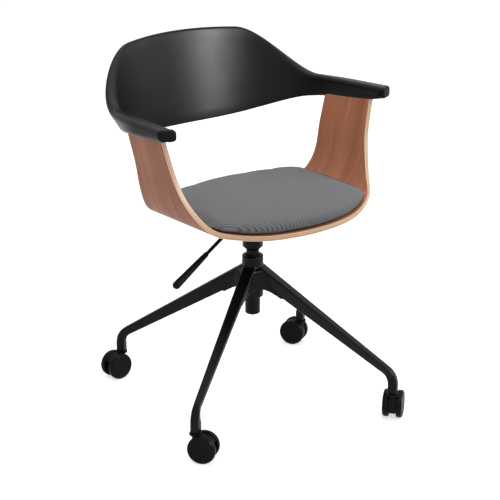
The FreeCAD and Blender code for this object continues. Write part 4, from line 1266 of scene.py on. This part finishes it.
class CHAIR_OT_base(bpy.types.Operator):
    """Blend the cast base and ease the column"""
    bl_idname = "chair.base"
    bl_label = "Base and column"
    bl_options = {"REGISTER", "UNDO"}

    def execute(self, context):
        make_base(context.scene)
        return {"FINISHED"}


class CHAIR_OT_seat_frame(bpy.types.Operator):
    """Ease the seat plate and model its bolts"""
    bl_idname = "chair.seat_frame"
    bl_label = "Seat plate"
    bl_options = {"REGISTER", "UNDO"}

    def execute(self, context):
        make_seat_frame(context.scene)
        return {"FINISHED"}


class CHAIR_OT_lever(bpy.types.Operator):
    """Model the lift lever and its grip"""
    bl_idname = "chair.lever"
    bl_label = "Lift lever"
    bl_options = {"REGISTER", "UNDO"}

    def execute(self, context):
        make_lever(context.scene)
        return {"FINISHED"}


class CHAIR_OT_casters(bpy.types.Operator):
    """Model the twin-wheel casters"""
    bl_idname = "chair.casters"
    bl_label = "Casters"
    bl_options = {"REGISTER", "UNDO"}

    def execute(self, context):
        make_casters(context.scene)
        return {"FINISHED"}


class CHAIR_OT_inner(bpy.types.Operator):
    """Finish the parts inside the column and under the seat"""
    bl_idname = "chair.inner"
    bl_label = "Inner parts"
    bl_options = {"REGISTER", "UNDO"}

    def execute(self, context):
        dress_inner_nodes()
        return {"FINISHED"}


class CHAIR_OT_stage(bpy.types.Operator):
    """Make the floor, lights and camera"""
    bl_idname = "chair.stage"
    bl_label = "Stage"
    bl_options = {"REGISTER", "UNDO"}

    def execute(self, context):
        make_stage(context.scene)
        return {"FINISHED"}


OPERATORS = (
    CHAIR_OT_finishes, CHAIR_OT_back, CHAIR_OT_arm_caps, CHAIR_OT_shell,
    CHAIR_OT_cushion, CHAIR_OT_base, CHAIR_OT_seat_frame, CHAIR_OT_lever,
    CHAIR_OT_casters, CHAIR_OT_inner, CHAIR_OT_stage,
)


class CHAIR_PT_sidebar(bpy.types.Panel):
    """Lists the pieces of the chair and their sizes"""
    bl_label = "Armchair"
    bl_idname = "CHAIR_PT_sidebar"
    bl_space_type = "VIEW_3D"
    bl_region_type = "UI"
    bl_category = "Armchair"

    def draw(self, context):
        for kind in OPERATORS:
            self.layout.operator(kind.bl_idname)
        for name, kind in GROUPS.items():
            box = self.layout.box()
            box.label(text=kind.__doc__)
            for key in kind.__annotations__:
                box.prop(getattr(context.scene, name), key)


GROUPS = {
    "chair_back": BackSizes, "chair_shell": ShellSizes, "chair_cushion": CushionSizes,
    "chair_base": BaseSizes, "chair_casters": CasterSizes, "chair_lever": LeverSizes,
    "chair_finishes": Finishes, "chair_stage": StageSizes,
}


def register():
    for kind in (*GROUPS.values(), *OPERATORS, CHAIR_PT_sidebar):
        bpy.utils.register_class(kind)
    for name, kind in GROUPS.items():
        setattr(bpy.types.Scene, name, bpy.props.PointerProperty(type=kind))


def unregister():
    for name in GROUPS:
        delattr(bpy.types.Scene, name)
    for kind in (CHAIR_PT_sidebar, *reversed(OPERATORS), *reversed(GROUPS.values())):
        bpy.utils.unregister_class(kind)


def main():
    register()
    bpy.ops.chair.finishes()
    bpy.ops.chair.back()
    bpy.ops.chair.arm_caps()
    bpy.ops.chair.shell()
    bpy.ops.chair.cushion()
    bpy.ops.chair.base()
    bpy.ops.chair.seat_frame()
    bpy.ops.chair.lever()
    bpy.ops.chair.casters()
    bpy.ops.chair.inner()
    bpy.ops.chair.stage()


if __name__ == "__main__":
    main()
